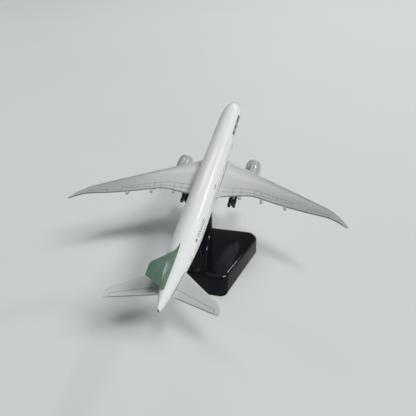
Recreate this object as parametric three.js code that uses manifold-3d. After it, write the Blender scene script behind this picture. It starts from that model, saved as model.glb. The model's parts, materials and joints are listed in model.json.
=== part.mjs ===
// Desktop airliner model: a die-cast twin-engined wide-body on a moulded stand.
// Millimetres, +Z up, the nose towards +Y, the symmetry plane at X = 0.
// The origin is the centre of the stand's underside, on the surface that it rests on.
//
// The aeroplane is drawn in its own frame and then pitched nose-up on the stand:
// X to starboard, Y forward with the nose tip at 0, Z up from the cabin's centreline.
// A station is a distance behind the nose, so a point at station s has Y = -s.
import * as THREE from "three";
import { mergeVertices } from "three/addons/utils/BufferGeometryUtils.js";
import Module from "manifold-3d";

const wasm = await Module();
wasm.setup();

// ---------------------------------------------------------------- driving dimensions
const GAP = 0.3; // between two pieces that touch
const RUNNING = 0.08; // radial clearance of an axle in its bearing

const PITCH = THREE.MathUtils.degToRad(10);
const NOSE_TIP = { y: 102.2, z: 85.75 }; // nose tip above the stand

const BODY_RADIUS = 8.4;
const BODY_LENGTH = 197.5;
const BODY_WALL = 1.1;

// Leading and trailing edge stations, height and thickness ratio along a half span.
const WING_STATIONS = [
  { x: 7.0, lead: 69.7, trail: 107.2, z: -4.2, ratio: 0.115 },
  { x: 17.0, lead: 75.8, trail: 105.8, z: -3.5, ratio: 0.11 },
  { x: 28.3, lead: 82.7, trail: 104.9, z: -2.7, ratio: 0.105 },
  { x: 46.0, lead: 93.5, trail: 110.9, z: -1.5, ratio: 0.1 },
  { x: 63.0, lead: 103.9, trail: 116.8, z: -0.3, ratio: 0.095 },
  { x: 78.4, lead: 113.3, trail: 122.2, z: 0.8, ratio: 0.09 },
  { x: 83.8, lead: 119.2, trail: 124.7, z: 1.15, ratio: 0.1 },
  { x: 87.5, lead: 126.3, trail: 127.1, z: 1.4, ratio: 0.3 },
];
const FLAP_FAIRINGS = [
  { x: 22.6, tail: 106.6, length: 11, z: -4.3 },
  { x: 36.9, tail: 109.6, length: 9.5, z: -3.2 },
  { x: 51.9, tail: 114.6, length: 8, z: -2.0 },
];
const FLAP_FAIRING_RADIUS = 1.05;

const STABILISER_STATIONS = [
  { x: 1.6, lead: 167.9, trail: 187.0, z: 2.0, ratio: 0.1 },
  { x: 15.0, lead: 179.6, trail: 191.5, z: 4.0, ratio: 0.095 },
  { x: 26.5, lead: 189.7, trail: 195.3, z: 5.8, ratio: 0.1 },
  { x: 29.3, lead: 193.4, trail: 196.4, z: 6.2, ratio: 0.12 },
];
// The fin's stations climb along Z.
const FIN_STATIONS = [
  { z: 4.6, lead: 163.6, trail: 186.0, half: 0.95 },
  { z: 11.9, lead: 165.6, trail: 189.0, half: 0.95 },
  { z: 23.0, lead: 178.4, trail: 193.5, half: 0.7 },
  { z: 33.3, lead: 189.4, trail: 197.8, half: 0.45 },
  { z: 34.2, lead: 191.2, trail: 198.2, half: 0.3 },
];

const ENGINE = { x: 24.8, z: -9.5, lip: 65.5, radius: 5.35, cowlLength: 14.6 };

const MAIN_GEAR = { x: 16.1, station: 100, axleZ: -12.8, spacing: 3.95, wheelX: 1.68 };
const NOSE_GEAR = { station: 15.9, axleZ: -13.15, wheelX: 1.1 };
const MAIN_WHEEL = { radius: 1.8, width: 1.3, axle: 0.45 };
const NOSE_WHEEL = { radius: 1.45, width: 0.95, axle: 0.4 };
const NOSE_LEG = { strut: 0.8, top: -6.2, fork: 0.86, forkHalf: 0.42, neckHalf: 0.6, neck: 2.4 };
const HUB_GAP = 0.04; // a wheel's hub round the axle that it is fixed to

// The stand: a tapered block, wide under the nose and narrow under the tail.
const BASE = {
  height: 14,
  front: 28.6,
  back: -22.8,
  backFoot: -28.6,
  frontHalf: 30.4,
  backHalf: 18.2,
  frontCorner: 8,
  backCorner: 5,
  edge: 1.6,
  wall: 2.2,
};
const PAD = 1.2;
const BALLAST = { bottom: 1.6, top: 4.6 };
const STEM_FOOT_Y = -20.2; // rear foot of the stem on the top of the base
const STEM_THICKNESS = 5;
const TENON = { front: 17.4, back: 2.4, depth: 8.8, thickness: 3.4 };
const PEG = { station: 103.1, length: 4.2, thickness: 3.4, bottom: -9.9, top: -4.4 };

// ---------------------------------------------------------------- finishes
const finish = (color, roughness, metalness) => () =>
  new THREE.MeshStandardMaterial({ color, roughness, metalness });
const whiteEnamel = finish("#eceeed", 0.18, 0);
const greyEnamel = finish("#b6bbbb", 0.42, 0);
const greenEnamel = finish("#3f6d4a", 0.3, 0);
const blackPlastic = finish("#0d0e10", 0.16, 0);
const blackRubber = finish("#1a1a1b", 0.75, 0);
const darkMetal = finish("#55585c", 0.4, 0.8);
const steel = finish("#a9adb0", 0.3, 1);
const foam = finish("#17181a", 0.95, 0);

// ---------------------------------------------------------------- solids
function toSolid(geometry) {
  const bare = new THREE.BufferGeometry();
  bare.setAttribute("position", geometry.getAttribute("position").clone());
  if (geometry.index) bare.setIndex(geometry.index.clone());
  const merged = mergeVertices(bare, 1e-4);
  return new wasm.Manifold(
    new wasm.Mesh({
      numProp: 3,
      vertProperties: new Float32Array(merged.attributes.position.array),
      triVerts: new Uint32Array(merged.index.array),
    }),
  );
}

function toGeometry(solid) {
  const mesh = solid.getMesh();
  const positions = new Float32Array(mesh.numVert * 3);
  for (let i = 0; i < mesh.numVert; i++)
    positions.set(mesh.vertProperties.subarray(i * mesh.numProp, i * mesh.numProp + 3), i * 3);
  const geometry = new THREE.BufferGeometry();
  geometry.setAttribute("position", new THREE.BufferAttribute(positions, 3));
  geometry.setIndex(new THREE.BufferAttribute(new Uint32Array(mesh.triVerts), 1));
  geometry.computeVertexNormals();
  return geometry;
}

// A closed skin over a row of rings that all have the same number of points.
function loft(rings) {
  const count = rings[0].length;
  const points = rings.flat();
  const triangles = [];
  for (let r = 0; r + 1 < rings.length; r++)
    for (let i = 0; i < count; i++) {
      const a = r * count + i;
      const b = r * count + ((i + 1) % count);
      triangles.push([a, b, b + count], [a, b + count, a + count]);
    }
  const cap = (first, flip) => {
    for (let i = 1; i + 1 < count; i++)
      triangles.push(flip ? [first, first + i + 1, first + i] : [first, first + i, first + i + 1]);
  };
  cap(0, true);
  cap((rings.length - 1) * count, false);
  const volume = triangles.reduce(
    (sum, [a, b, c]) => sum + points[a].dot(points[b].clone().cross(points[c])),
    0,
  );
  if (volume < 0) triangles.forEach((t) => t.reverse());
  const geometry = new THREE.BufferGeometry().setFromPoints(points);
  geometry.setIndex(triangles.flat());
  return toSolid(geometry);
}

function box(low, high) {
  const size = high.map((value, i) => value - low[i]);
  const geometry = new THREE.BoxGeometry(...size);
  geometry.translate(...low.map((value, i) => value + size[i] / 2));
  return toSolid(geometry);
}

// A cylinder between two points; both ends are flat.
function rod(from, to, radius, sides = 12) {
  const start = new THREE.Vector3(...from);
  const along = new THREE.Vector3(...to).sub(start);
  const geometry = new THREE.CylinderGeometry(radius, radius, along.length(), sides);
  geometry.translate(0, along.length() / 2, 0);
  const turn = new THREE.Quaternion().setFromUnitVectors(
    new THREE.Vector3(0, 1, 0),
    along.clone().normalize(),
  );
  geometry.applyQuaternion(turn);
  geometry.translate(...start.toArray());
  return toSolid(geometry);
}

// A lathe about a fore-and-aft axis; the profile holds [radius, distance behind the front].
function turned(profile, sides) {
  const points = profile.map(([radius, back]) => new THREE.Vector2(radius, -back));
  const solid = toSolid(new THREE.LatheGeometry(points, sides));
  if (solid.volume() > 0) return solid;
  return toSolid(new THREE.LatheGeometry(points.reverse(), sides));
}

// A plate cut from an outline of [Y, Z] points, centred on the plane X = 0.
function sidePlate(outline, thickness, bevel = 0) {
  const shape = new THREE.Shape(outline.map(([y, z]) => new THREE.Vector2(y, z)));
  const geometry = new THREE.ExtrudeGeometry(shape, {
    depth: thickness - 2 * bevel,
    bevelEnabled: bevel > 0,
    bevelThickness: bevel,
    bevelSize: bevel,
    bevelOffset: -bevel,
    bevelSegments: 1,
    curveSegments: 6,
  });
  geometry.translate(0, 0, bevel - thickness / 2);
  geometry.applyMatrix4(
    new THREE.Matrix4().makeBasis(
      new THREE.Vector3(0, 1, 0),
      new THREE.Vector3(0, 0, 1),
      new THREE.Vector3(1, 0, 0),
    ),
  );
  return toSolid(geometry);
}

// ---------------------------------------------------------------- fuselage lines
// Rises from 0 to 1 over the length of a rounded end.
const roundEnd = (s, length, power, fullness) =>
  (1 - (1 - Math.min(s / length, 1)) ** power) ** fullness;

function bodySection(s) {
  const tailWidth = THREE.MathUtils.clamp((s - 135) / 62.5, 0, 1);
  const tailTop = THREE.MathUtils.clamp((s - 157) / 40.5, 0, 1);
  const tailBottom = THREE.MathUtils.clamp((s - 132.5) / 65, 0, 1);
  const half = Math.min(
    BODY_RADIUS * roundEnd(s, 24.3, 2.4, 0.517),
    0.7 + 7.7 * (1 - tailWidth ** 2.3) ** 0.95,
  );
  const top = -2.4 + 10.8 * roundEnd(s, 27, 2.6, 0.76) - 2.0 * tailTop ** 2;
  const bottom = -2.4 - 6 * roundEnd(s, 19, 2.2, 0.5) + 10.2 * tailBottom ** 1.4;
  return { half, top, bottom };
}

function bodyRing(s, offset, sides) {
  const { half, top, bottom } = bodySection(s);
  const middle = (top + bottom) / 2;
  return Array.from({ length: sides }, (_, i) => {
    const turn = (i / sides) * 2 * Math.PI;
    return new THREE.Vector3(
      (half + offset) * Math.cos(turn),
      -s,
      middle + ((top - bottom) / 2 + offset) * Math.sin(turn),
    );
  });
}

const BODY_STATIONS = [
  0.05, 0.5, 1.5, 3.2, 6, 10, 15, 20.5, 27, 60, 95, 133, 142, 151, 160, 168, 175.5, 182.5, 188.5,
  193.5, BODY_LENGTH,
];
const BODY_SIDES = 28;
const bodyOuter = loft(BODY_STATIONS.map((s) => bodyRing(s, 0, BODY_SIDES)));
const bodyClear = loft(BODY_STATIONS.map((s) => bodyRing(s, GAP, BODY_SIDES)));

// ---------------------------------------------------------------- lifting surfaces
// A symmetric section in 12 points: [fraction of the chord, fraction of the half thickness].
const SECTION = [
  [0, 0],
  [0.02, 0.42],
  [0.1, 0.82],
  [0.35, 1],
  [0.65, 0.68],
  [0.9, 0.26],
  [1, 0.06],
  [1, -0.06],
  [0.9, -0.26],
  [0.65, -0.68],
  [0.35, -1],
  [0.1, -0.82],
  [0.02, -0.42],
];

function surface(stations, side) {
  const rings = stations.map(({ x, lead, trail, z, ratio }) =>
    SECTION.map(([along, up]) => {
      const chord = trail - lead;
      return new THREE.Vector3(side * x, -(lead + chord * along), z + up * chord * ratio * 0.5);
    }),
  );
  return loft(rings);
}

// A root tab runs sideways into the fuselage; its slot is the same box, grown and left open outwards.
const WING_TAB = { inner: 4.9, outer: 9.5, front: 78, back: 96, bottom: -5.0, top: -3.4 };
const TAIL_TAB = { inner: 2.4, outer: 5.2, front: 173.5, back: 184, bottom: 1.5, top: 2.7 };
function rootTab(tab, side, grow) {
  const x = [side * (tab.inner - grow), side * (tab.outer + 3 * grow)];
  return box(
    [Math.min(...x), -tab.back - grow, tab.bottom - grow],
    [Math.max(...x), grow - tab.front, tab.top + grow],
  );
}

function makeWing(side) {
  let wing = surface(WING_STATIONS, side).subtract(bodyClear);
  for (const { x, tail, length, z } of FLAP_FAIRINGS) {
    const fairing = turned(
      [
        [0, 0],
        [0.7 * FLAP_FAIRING_RADIUS, 0.12 * length],
        [FLAP_FAIRING_RADIUS, 0.4 * length],
        [0.67 * FLAP_FAIRING_RADIUS, 0.8 * length],
        [0, length],
      ],
      8,
    ).translate([side * x, length - tail, z]);
    wing = wing.add(fairing);
  }
  return wing.add(rootTab(WING_TAB, side, 0));
}

const makeStabiliser = (side) =>
  surface(STABILISER_STATIONS, side).subtract(bodyClear).add(rootTab(TAIL_TAB, side, 0));

const FIN_TAB = { half: 0.6, front: 168, back: 182, bottom: 4.2, top: 9.5 };
const finTab = (grow) =>
  box(
    [-FIN_TAB.half - grow, -FIN_TAB.back - grow, FIN_TAB.bottom - grow],
    [FIN_TAB.half + grow, grow - FIN_TAB.front, FIN_TAB.top],
  );

function makeFin() {
  const blade = loft(
    FIN_STATIONS.map(({ z, lead, trail, half }) =>
      SECTION.map(
        ([along, up]) => new THREE.Vector3(up * half, -(lead + (trail - lead) * along), z),
      ),
    ),
  );
  const fillet = sidePlate(
    [
      [-158.3, 7.6],
      [-158.3, 8.6],
      [-162, 9.7],
      [-165.6, 11.9],
      [-168.5, 14.9],
      [-172, 7.6],
    ],
    0.9,
  );
  return blade.add(fillet).subtract(bodyClear).add(finTab(0));
}

// ---------------------------------------------------------------- belly and fuselage
const FAIRING_STATIONS = [
  { s: 58, half: 2.5, bottom: -8.7, top: -7.6 },
  { s: 63, half: 5.2, bottom: -9.3, top: -5.8 },
  { s: 70, half: 7.4, bottom: -9.8, top: -4.7 },
  { s: 80, half: 8.5, bottom: -10, top: -4.6 },
  { s: 98, half: 8.3, bottom: -10, top: -4.6 },
  { s: 108, half: 6.4, bottom: -9.8, top: -5 },
  { s: 115, half: 4.2, bottom: -9.4, top: -6 },
  { s: 121, half: 1.8, bottom: -8.8, top: -7.6 },
];
const SOCKET = { halfWidth: 3.2, front: 98.6, back: 107.6, top: -2.4 };
const BELLY_OPENING = { halfWidth: 3.8, front: 98, back: 108.2, top: -4 };
const SCREW_STATIONS = { front: 76, rear: 111.6 };
const SCREW = { head: 1.25, headHeight: 0.6, shank: 0.7, length: 4.6, seat: -9.35 };
const SCREW_SLOT = { length: 1.7, width: 0.32, depth: 0.4 };
const SCREW_BOSS = { radius: 1.9, bottom: -7.8, top: -3.2, boreTop: -4.2 };
const BELOW = -12; // clear of the belly, where every cut from below starts

const pegBox = (grow) =>
  box(
    [-PEG.thickness / 2 - grow, -PEG.station - PEG.length / 2 - grow, PEG.bottom - 1],
    [PEG.thickness / 2 + grow, grow - PEG.station + PEG.length / 2, PEG.top + grow],
  );

function makeBellyFairing(wings) {
  const sides = 20;
  const skin = loft(
    FAIRING_STATIONS.map(({ s, half, bottom, top }) =>
      Array.from({ length: sides }, (_, i) => {
        const turn = (i / sides) * 2 * Math.PI;
        const square = (value) => Math.sign(value) * Math.abs(value) ** 0.7;
        return new THREE.Vector3(
          half * square(Math.cos(turn)),
          -s,
          (top + bottom) / 2 + ((top - bottom) / 2) * square(Math.sin(turn)),
        );
      }),
    ),
  );
  let fairing = skin.subtract(bodyClear);
  for (const wing of wings)
    fairing = fairing.subtract(wing.translate([0, 0, -GAP])).subtract(wing);
  const tower = box(
    [-SOCKET.halfWidth, -SOCKET.back, -9.4],
    [SOCKET.halfWidth, -SOCKET.front, SOCKET.top],
  );
  fairing = fairing.add(tower).subtract(pegBox(GAP));
  for (const s of Object.values(SCREW_STATIONS)) {
    fairing = fairing
      .subtract(rod([0, -s, BELOW], [0, -s, SCREW.seat + GAP], SCREW.head + GAP))
      .subtract(rod([0, -s, BELOW], [0, -s, -5], SCREW.shank + GAP));
  }
  return fairing;
}

function makeFuselage() {
  const inner = loft(
    [7, 10, 15, 21, 28, 60, 95, 133, 142, 151, 160, 168].map((s) => bodyRing(s, -BODY_WALL, 24)),
  );
  let shell = bodyOuter.subtract(inner);
  for (const s of Object.values(SCREW_STATIONS)) {
    const { radius, bottom, top, boreTop } = SCREW_BOSS;
    shell = shell
      .add(rod([0, -s, bottom], [0, -s, top], radius))
      .subtract(rod([0, -s, BELOW], [0, -s, boreTop], SCREW.shank + RUNNING));
  }
  shell = shell.subtract(
    box(
      [-BELLY_OPENING.halfWidth, -BELLY_OPENING.back, BELOW],
      [BELLY_OPENING.halfWidth, -BELLY_OPENING.front, BELLY_OPENING.top],
    ),
  );
  for (const side of [-1, 1])
    shell = shell
      .subtract(rootTab(WING_TAB, side, GAP))
      .subtract(rootTab(TAIL_TAB, side, GAP));
  const noseLegHole = rod(
    [0, -NOSE_GEAR.station, BELOW],
    [0, -NOSE_GEAR.station, NOSE_LEG.top + 0.7],
    NOSE_LEG.strut + GAP,
  );
  return shell.subtract(finTab(GAP)).subtract(noseLegHole);
}

function makeScrew(station) {
  const { seat, headHeight, length, shank, head } = SCREW;
  const face = seat - headHeight;
  const long = SCREW_SLOT.length / 2;
  const thin = SCREW_SLOT.width / 2;
  const slot = (dx, dy) =>
    box([-dx, -station - dy, face - 1], [dx, dy - station, face + SCREW_SLOT.depth]);
  return rod([0, -station, seat], [0, -station, seat + length], shank)
    .add(rod([0, -station, face], [0, -station, seat], head))
    .subtract(slot(long, thin))
    .subtract(slot(thin, long));
}

// ---------------------------------------------------------------- engines
const ENGINE_SIDES = 24;
const placeEngine = (solid, side, back) =>
  solid.translate([side * ENGINE.x, -ENGINE.lip - back, ENGINE.z]);

function makeCowl(side, wing) {
  const length = ENGINE.cowlLength;
  const radius = ENGINE.radius;
  const ring = turned(
    [
      [0, 6.5],
      [4.1, 6.5],
      [4.0, 1.2],
      [4.25, 0.3],
      [4.55, 0],
      [4.9, 0.4],
      [radius - 0.1, 2.2],
      [radius, 5],
      [radius - 0.2, 9],
      [4.55, length],
      [4.2, length],
      [4.25, 10.4],
      [0, 10.4],
    ],
    ENGINE_SIDES,
  );
  const pylon = sidePlate(
    [
      [-69.5, -5.2],
      [-70, -4.1],
      [-74, -3.0],
      [-79, -2.0],
      [-96.5, -2.6],
      [-97, -4.2],
      [-88, -6.2],
      [-82.5, -6.9],
      [-79, -6.2],
      [-77, -5.4],
    ],
    1.3,
  ).translate([side * ENGINE.x, 0, 0]);
  return placeEngine(ring, side, 0)
    .add(pylon)
    .subtract(wing)
    .subtract(wing.translate([0, GAP, -GAP]));
}

function makeCore(side) {
  const core = turned(
    [
      [0, 0],
      [3.2, 0],
      [3.1, 2.2],
      [2.3, 6.8],
      [2.05, 7.2],
      [1.3, 7.3],
      [0.3, 10],
      [0, 10.1],
    ],
    ENGINE_SIDES,
  );
  return placeEngine(core, side, 10.4 + GAP);
}

function makeFan(side) {
  const fan = turned(
    [
      [0, 0],
      [0.5, 0.45],
      [1.15, 2.0],
      [1.3, 2.6],
      [3.75, 2.9],
      [3.75, 3.7],
      [0, 3.7],
    ],
    ENGINE_SIDES,
  );
  return placeEngine(fan, side, 2.5);
}

// ---------------------------------------------------------------- landing gear
const BEARING = 0.34; // wall of a leg round its axle
const MAIN_LEG = { strut: 0.75, top: -4.4, beamHalf: 0.55, beamHeight: 1.5, brace: 0.4 };
const GEAR_DOOR = { out: 1.5, thickness: 0.5, front: 2.6, back: 2.4, bottom: -9.6, top: -4.6 };
const DOOR_LINK = { half: 0.4, bottom: -7.4, top: -6.4 };
const axleRows = [1, 0, -1].map((row) => row * MAIN_GEAR.spacing - MAIN_GEAR.station);

// A bearing's bore: the flats of its polygon stay clear of the turning axle.
const bore = (x, half, y, z, radius) => rod([x - half, y, z], [x + half, y, z], radius, 16);
const boreRadius = (axle) => (axle + RUNNING) / Math.cos(Math.PI / 16);

function makeMainLeg(side, wing) {
  const { x, axleZ, station, spacing } = MAIN_GEAR;
  const { strut, top, beamHalf, beamHeight, brace } = MAIN_LEG;
  const cx = side * x;
  const doorX = cx + side * GEAR_DOOR.out;
  const doorHalf = GEAR_DOOR.thickness / 2;
  const reach = spacing + MAIN_WHEEL.axle + BEARING;
  let leg = rod([cx, -station, axleZ], [cx, -station, top + 1.2], strut)
    .add(
      box(
        [cx - beamHalf, -station - reach, axleZ - beamHeight / 2],
        [cx + beamHalf, reach - station, axleZ + beamHeight / 2],
      ),
    )
    .add(rod([cx, 2.4 - station, axleZ + 0.2], [cx, 0.4 - station, axleZ + 4.2], brace, 8))
    .add(
      box(
        [doorX - doorHalf, -station - GEAR_DOOR.back, GEAR_DOOR.bottom],
        [doorX + doorHalf, GEAR_DOOR.front - station, GEAR_DOOR.top],
      ),
    )
    .add(
      box(
        [Math.min(cx, doorX), -station - DOOR_LINK.half, DOOR_LINK.bottom],
        [Math.max(cx, doorX), DOOR_LINK.half - station, DOOR_LINK.top],
      ),
    )
    .subtract(wing.translate([0, 0, -GAP]))
    .subtract(box([cx - 4, -station - 4, top], [cx + 4, 4 - station, 0]));
  for (const y of axleRows)
    leg = leg.subtract(bore(cx, 2, y, axleZ, boreRadius(MAIN_WHEEL.axle)));
  return leg;
}

function makeNoseLeg() {
  const { station, axleZ } = NOSE_GEAR;
  const { strut, top, fork, forkHalf, neckHalf, neck } = NOSE_LEG;
  return rod([0, -station, axleZ + 1.8], [0, -station, top], strut)
    .add(rod([-forkHalf, -station, axleZ], [forkHalf, -station, axleZ], fork, 16))
    .add(box([-forkHalf, -station - neckHalf, axleZ], [forkHalf, neckHalf - station, axleZ + neck]))
    .subtract(bore(0, 2, -station, axleZ, boreRadius(NOSE_WHEEL.axle)));
}

function makeWheel(wheel, x, y, z) {
  const { radius, width, axle } = wheel;
  const half = width / 2;
  const hole = axle + HUB_GAP;
  const profile = [
    [hole, -half + 0.15],
    [radius * 0.52, -half + 0.25],
    [radius * 0.58, -half],
    [radius - 0.3, -half],
    [radius, -half + 0.3],
    [radius, half - 0.3],
    [radius - 0.3, half],
    [radius * 0.58, half],
    [radius * 0.52, half - 0.25],
    [hole, half - 0.15],
    [hole, -half + 0.15],
  ].map(([r, along]) => new THREE.Vector2(r, along));
  const geometry = new THREE.LatheGeometry(profile, 16);
  geometry.rotateZ(-Math.PI / 2);
  const solid = toSolid(geometry);
  const facing = solid.volume() > 0 ? solid : toSolid(geometry.clone().scale(-1, 1, 1));
  return facing.translate([x, y, z]);
}

const makeAxle = (wheel, x, reach, y, z) =>
  rod([x - reach, y, z], [x + reach, y, z], wheel.axle, 16);

// ---------------------------------------------------------------- stand
// The base's outline at a height, drawn inwards by an inset: arcs at four corners.
function baseOutline(inset, backShift) {
  const corners = [
    { x: BASE.frontHalf, y: BASE.front, r: BASE.frontCorner, from: 0 },
    { x: -BASE.frontHalf, y: BASE.front, r: BASE.frontCorner, from: 90 },
    { x: -BASE.backHalf, y: BASE.back - backShift, r: BASE.backCorner, from: 180 },
    { x: BASE.backHalf, y: BASE.back - backShift, r: BASE.backCorner, from: 270 },
  ];
  const steps = 5;
  return corners.flatMap(({ x, y, r, from }) => {
    const across = Math.sign(x);
    const along = from < 180 ? 1 : -1;
    const reach = Math.max(r - inset, 0.6);
    const cx = x - across * (inset + reach);
    const cy = y - along * (inset + reach);
    return Array.from({ length: steps + 1 }, (_, i) => {
      const turn = THREE.MathUtils.degToRad(from + (90 * i) / steps);
      return new THREE.Vector2(cx + reach * Math.cos(turn), cy + reach * Math.sin(turn));
    });
  });
}

const backShiftAt = (z) => (BASE.back - BASE.backFoot) * (1 - z / BASE.height);
const baseRing = (inset, z) =>
  baseOutline(inset, backShiftAt(z)).map((p) => new THREE.Vector3(p.x, p.y, z));

const stemHole = (grow, from, to) =>
  box(
    [-TENON.thickness / 2 - grow, STEM_FOOT_Y + TENON.back - grow, from],
    [TENON.thickness / 2 + grow, STEM_FOOT_Y + TENON.front + grow, to],
  );
const BALLAST_SCREWS = { front: [0, 14], left: [-11.5, -12], right: [11.5, -12] };
const BALLAST_SCREW = { head: 1.7, headHeight: 1, shank: 0.75, length: 5.6, boss: 2.6 };
const BALLAST_SEAT = BALLAST.bottom + 1.2; // where the heads of the ballast screws press
const SOCKET_BOTTOM = BALLAST.top + GAP;

function makeBase() {
  const { height, edge, wall } = BASE;
  const outer = loft([
    baseRing(0.3, PAD * 0.4),
    baseRing(0, PAD * 0.4 + 0.4),
    baseRing(0, height - edge),
    baseRing(edge * 0.12, height - edge * 0.5),
    baseRing(edge * 0.45, height - edge * 0.12),
    baseRing(edge, height),
  ]);
  const hollow = loft([baseRing(wall, -1), baseRing(wall, height - wall)]);
  const socket = box([-4, STEM_FOOT_Y - 0.2, SOCKET_BOTTOM], [4, STEM_FOOT_Y + 20, height - 1]);
  let base = outer.subtract(hollow).add(socket).subtract(stemHole(GAP, 0, height + 1));
  for (const [x, y] of Object.values(BALLAST_SCREWS)) {
    base = base
      .add(rod([x, y, SOCKET_BOTTOM], [x, y, height - 1], BALLAST_SCREW.boss, 16))
      .subtract(rod([x, y, 0], [x, y, height - 3], BALLAST_SCREW.shank + RUNNING));
  }
  return base;
}

function makeBallast() {
  const inset = BASE.wall + 1.2;
  let plate = loft([baseRing(inset, BALLAST.bottom), baseRing(inset, BALLAST.top)]);
  for (const [x, y] of Object.values(BALLAST_SCREWS))
    plate = plate
      .subtract(rod([x, y, 0], [x, y, BALLAST.top + 1], BALLAST_SCREW.shank + GAP))
      .subtract(rod([x, y, 0], [x, y, BALLAST_SEAT + GAP], BALLAST_SCREW.head + GAP));
  return plate;
}

const makePad = () => loft([baseRing(BASE.wall + GAP, 0), baseRing(BASE.wall + GAP, PAD)]);

function makeBallastScrew([x, y]) {
  const { head, headHeight, shank, length } = BALLAST_SCREW;
  return rod([x, y, BALLAST_SEAT - headHeight], [x, y, BALLAST_SEAT], head, 16).add(
    rod([x, y, BALLAST_SEAT], [x, y, BALLAST_SEAT + length], shank),
  );
}

// The stem is a leaning blade: a long foot, a hollow back and a slim neck.
function makeStem(toAircraft) {
  const curve = new THREE.CatmullRomCurve3(
    [
      [-0.4, GAP],
      [2.9, 6.0],
      [7.3, 13.1],
      [15.2, 17.7],
      [18.9, 22.8],
      [19.9, 31.8],
      [20.1, 44.3],
    ].map(([f, u]) => new THREE.Vector3(0, f, u)),
    false,
    "centripetal",
  );
  const back = curve.getPoints(14).map((p) => [p.y + STEM_FOOT_Y, p.z + BASE.height]);
  const front = [
    [24.9, 44.3],
    [24.3, 32.8],
    [23.7, 24.5],
    [22.9, 16],
    [21.7, 7.8],
    [19.7, GAP],
  ].map(([f, u]) => [f + STEM_FOOT_Y, u + BASE.height]);
  const belly = box([-30, -160, -9.95 - GAP], [30, -40, 40]).transform(toAircraft);
  const blade = sidePlate([...back, ...front], STEM_THICKNESS, 0.7).subtract(belly);
  const tenon = stemHole(0, BASE.height - TENON.depth, BASE.height + 1.2);
  const peg = pegBox(0).transform(toAircraft);
  return blade.add(tenon).add(peg);
}

// ---------------------------------------------------------------- assembly
const model = new THREE.Group();
const aircraft = new THREE.Group();
aircraft.rotation.x = PITCH;
aircraft.position.set(0, NOSE_TIP.y, NOSE_TIP.z);
aircraft.updateMatrix();
model.add(aircraft);

function piece(group, name, solid, material) {
  const mesh = new THREE.Mesh(toGeometry(solid), material());
  mesh.name = name;
  group.add(mesh);
}

piece(model, "base_shell", makeBase(), blackPlastic);
piece(model, "ballast_plate", makeBallast(), steel);
piece(model, "base_pad", makePad(), foam);
for (const [name, place] of Object.entries(BALLAST_SCREWS))
  piece(model, `ballast_screw_${name}`, makeBallastScrew(place), steel);
piece(model, "stand_stem", makeStem(aircraft.matrix.toArray()), blackPlastic);

const sides = { left: -1, right: 1 };
const wings = { left: makeWing(-1), right: makeWing(1) };
piece(aircraft, "fuselage_shell", makeFuselage(), whiteEnamel);
piece(aircraft, "belly_fairing", makeBellyFairing(Object.values(wings)), greyEnamel);
piece(aircraft, "fairing_screw_front", makeScrew(SCREW_STATIONS.front), steel);
piece(aircraft, "fairing_screw_rear", makeScrew(SCREW_STATIONS.rear), steel);
piece(aircraft, "tail_fin", makeFin(), greenEnamel);
piece(aircraft, "nose_gear_leg", makeNoseLeg(), darkMetal);

for (const [name, side] of Object.entries(sides)) {
  const wing = wings[name];
  piece(aircraft, `wing_${name}`, wing, greyEnamel);
  piece(aircraft, `stabiliser_${name}`, makeStabiliser(side), greyEnamel);
  piece(aircraft, `engine_cowl_${name}`, makeCowl(side, wing), greyEnamel);
  piece(aircraft, `engine_fan_${name}`, makeFan(side), darkMetal);
  piece(aircraft, `engine_core_${name}`, makeCore(side), darkMetal);
  piece(aircraft, `main_gear_leg_${name}`, makeMainLeg(side, wing), darkMetal);
  ["front", "middle", "rear"].forEach((row, index) => {
    const y = axleRows[index];
    const set = `main_${name}_${row}`;
    const { x, axleZ, wheelX } = MAIN_GEAR;
    const reach = wheelX + MAIN_WHEEL.width / 2 + 0.1;
    piece(aircraft, `${set}_axle`, makeAxle(MAIN_WHEEL, side * x, reach, y, axleZ), steel);
    for (const [place, offset] of [["inner", -side * wheelX], ["outer", side * wheelX]]) {
      const tyre = makeWheel(MAIN_WHEEL, side * x + offset, y, axleZ);
      piece(aircraft, `${set}_wheel_${place}`, tyre, blackRubber);
    }
  });
}

const noseReach = NOSE_GEAR.wheelX + NOSE_WHEEL.width / 2 + 0.1;
const noseAxle = makeAxle(NOSE_WHEEL, 0, noseReach, -NOSE_GEAR.station, NOSE_GEAR.axleZ);
piece(aircraft, "nose_axle", noseAxle, steel);
for (const [name, side] of Object.entries(sides)) {
  const x = side * NOSE_GEAR.wheelX;
  const tyre = makeWheel(NOSE_WHEEL, x, -NOSE_GEAR.station, NOSE_GEAR.axleZ);
  piece(aircraft, `nose_wheel_${name}`, tyre, blackRubber);
}

export default model;
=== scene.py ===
"""Desktop airliner model on its stand: the looks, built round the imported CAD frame.

The aeroplane's own frame is in millimetres: X to starboard, Y forward with the nose tip at 0, Z up from the
cabin's centreline. A station is a distance behind the nose, so a point at station s has Y = -s.
Pieces of the aeroplane are drawn in that frame and placed by one matrix, which the joints give.
A solid is a pair: its vertices, in millimetres, and its faces.
"""

import contextlib
import itertools
import json
import math
from math import copysign, cos, pi, radians, sin, sqrt

import bmesh
import bpy
import numpy as np
from mathutils import Matrix, Vector


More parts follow.
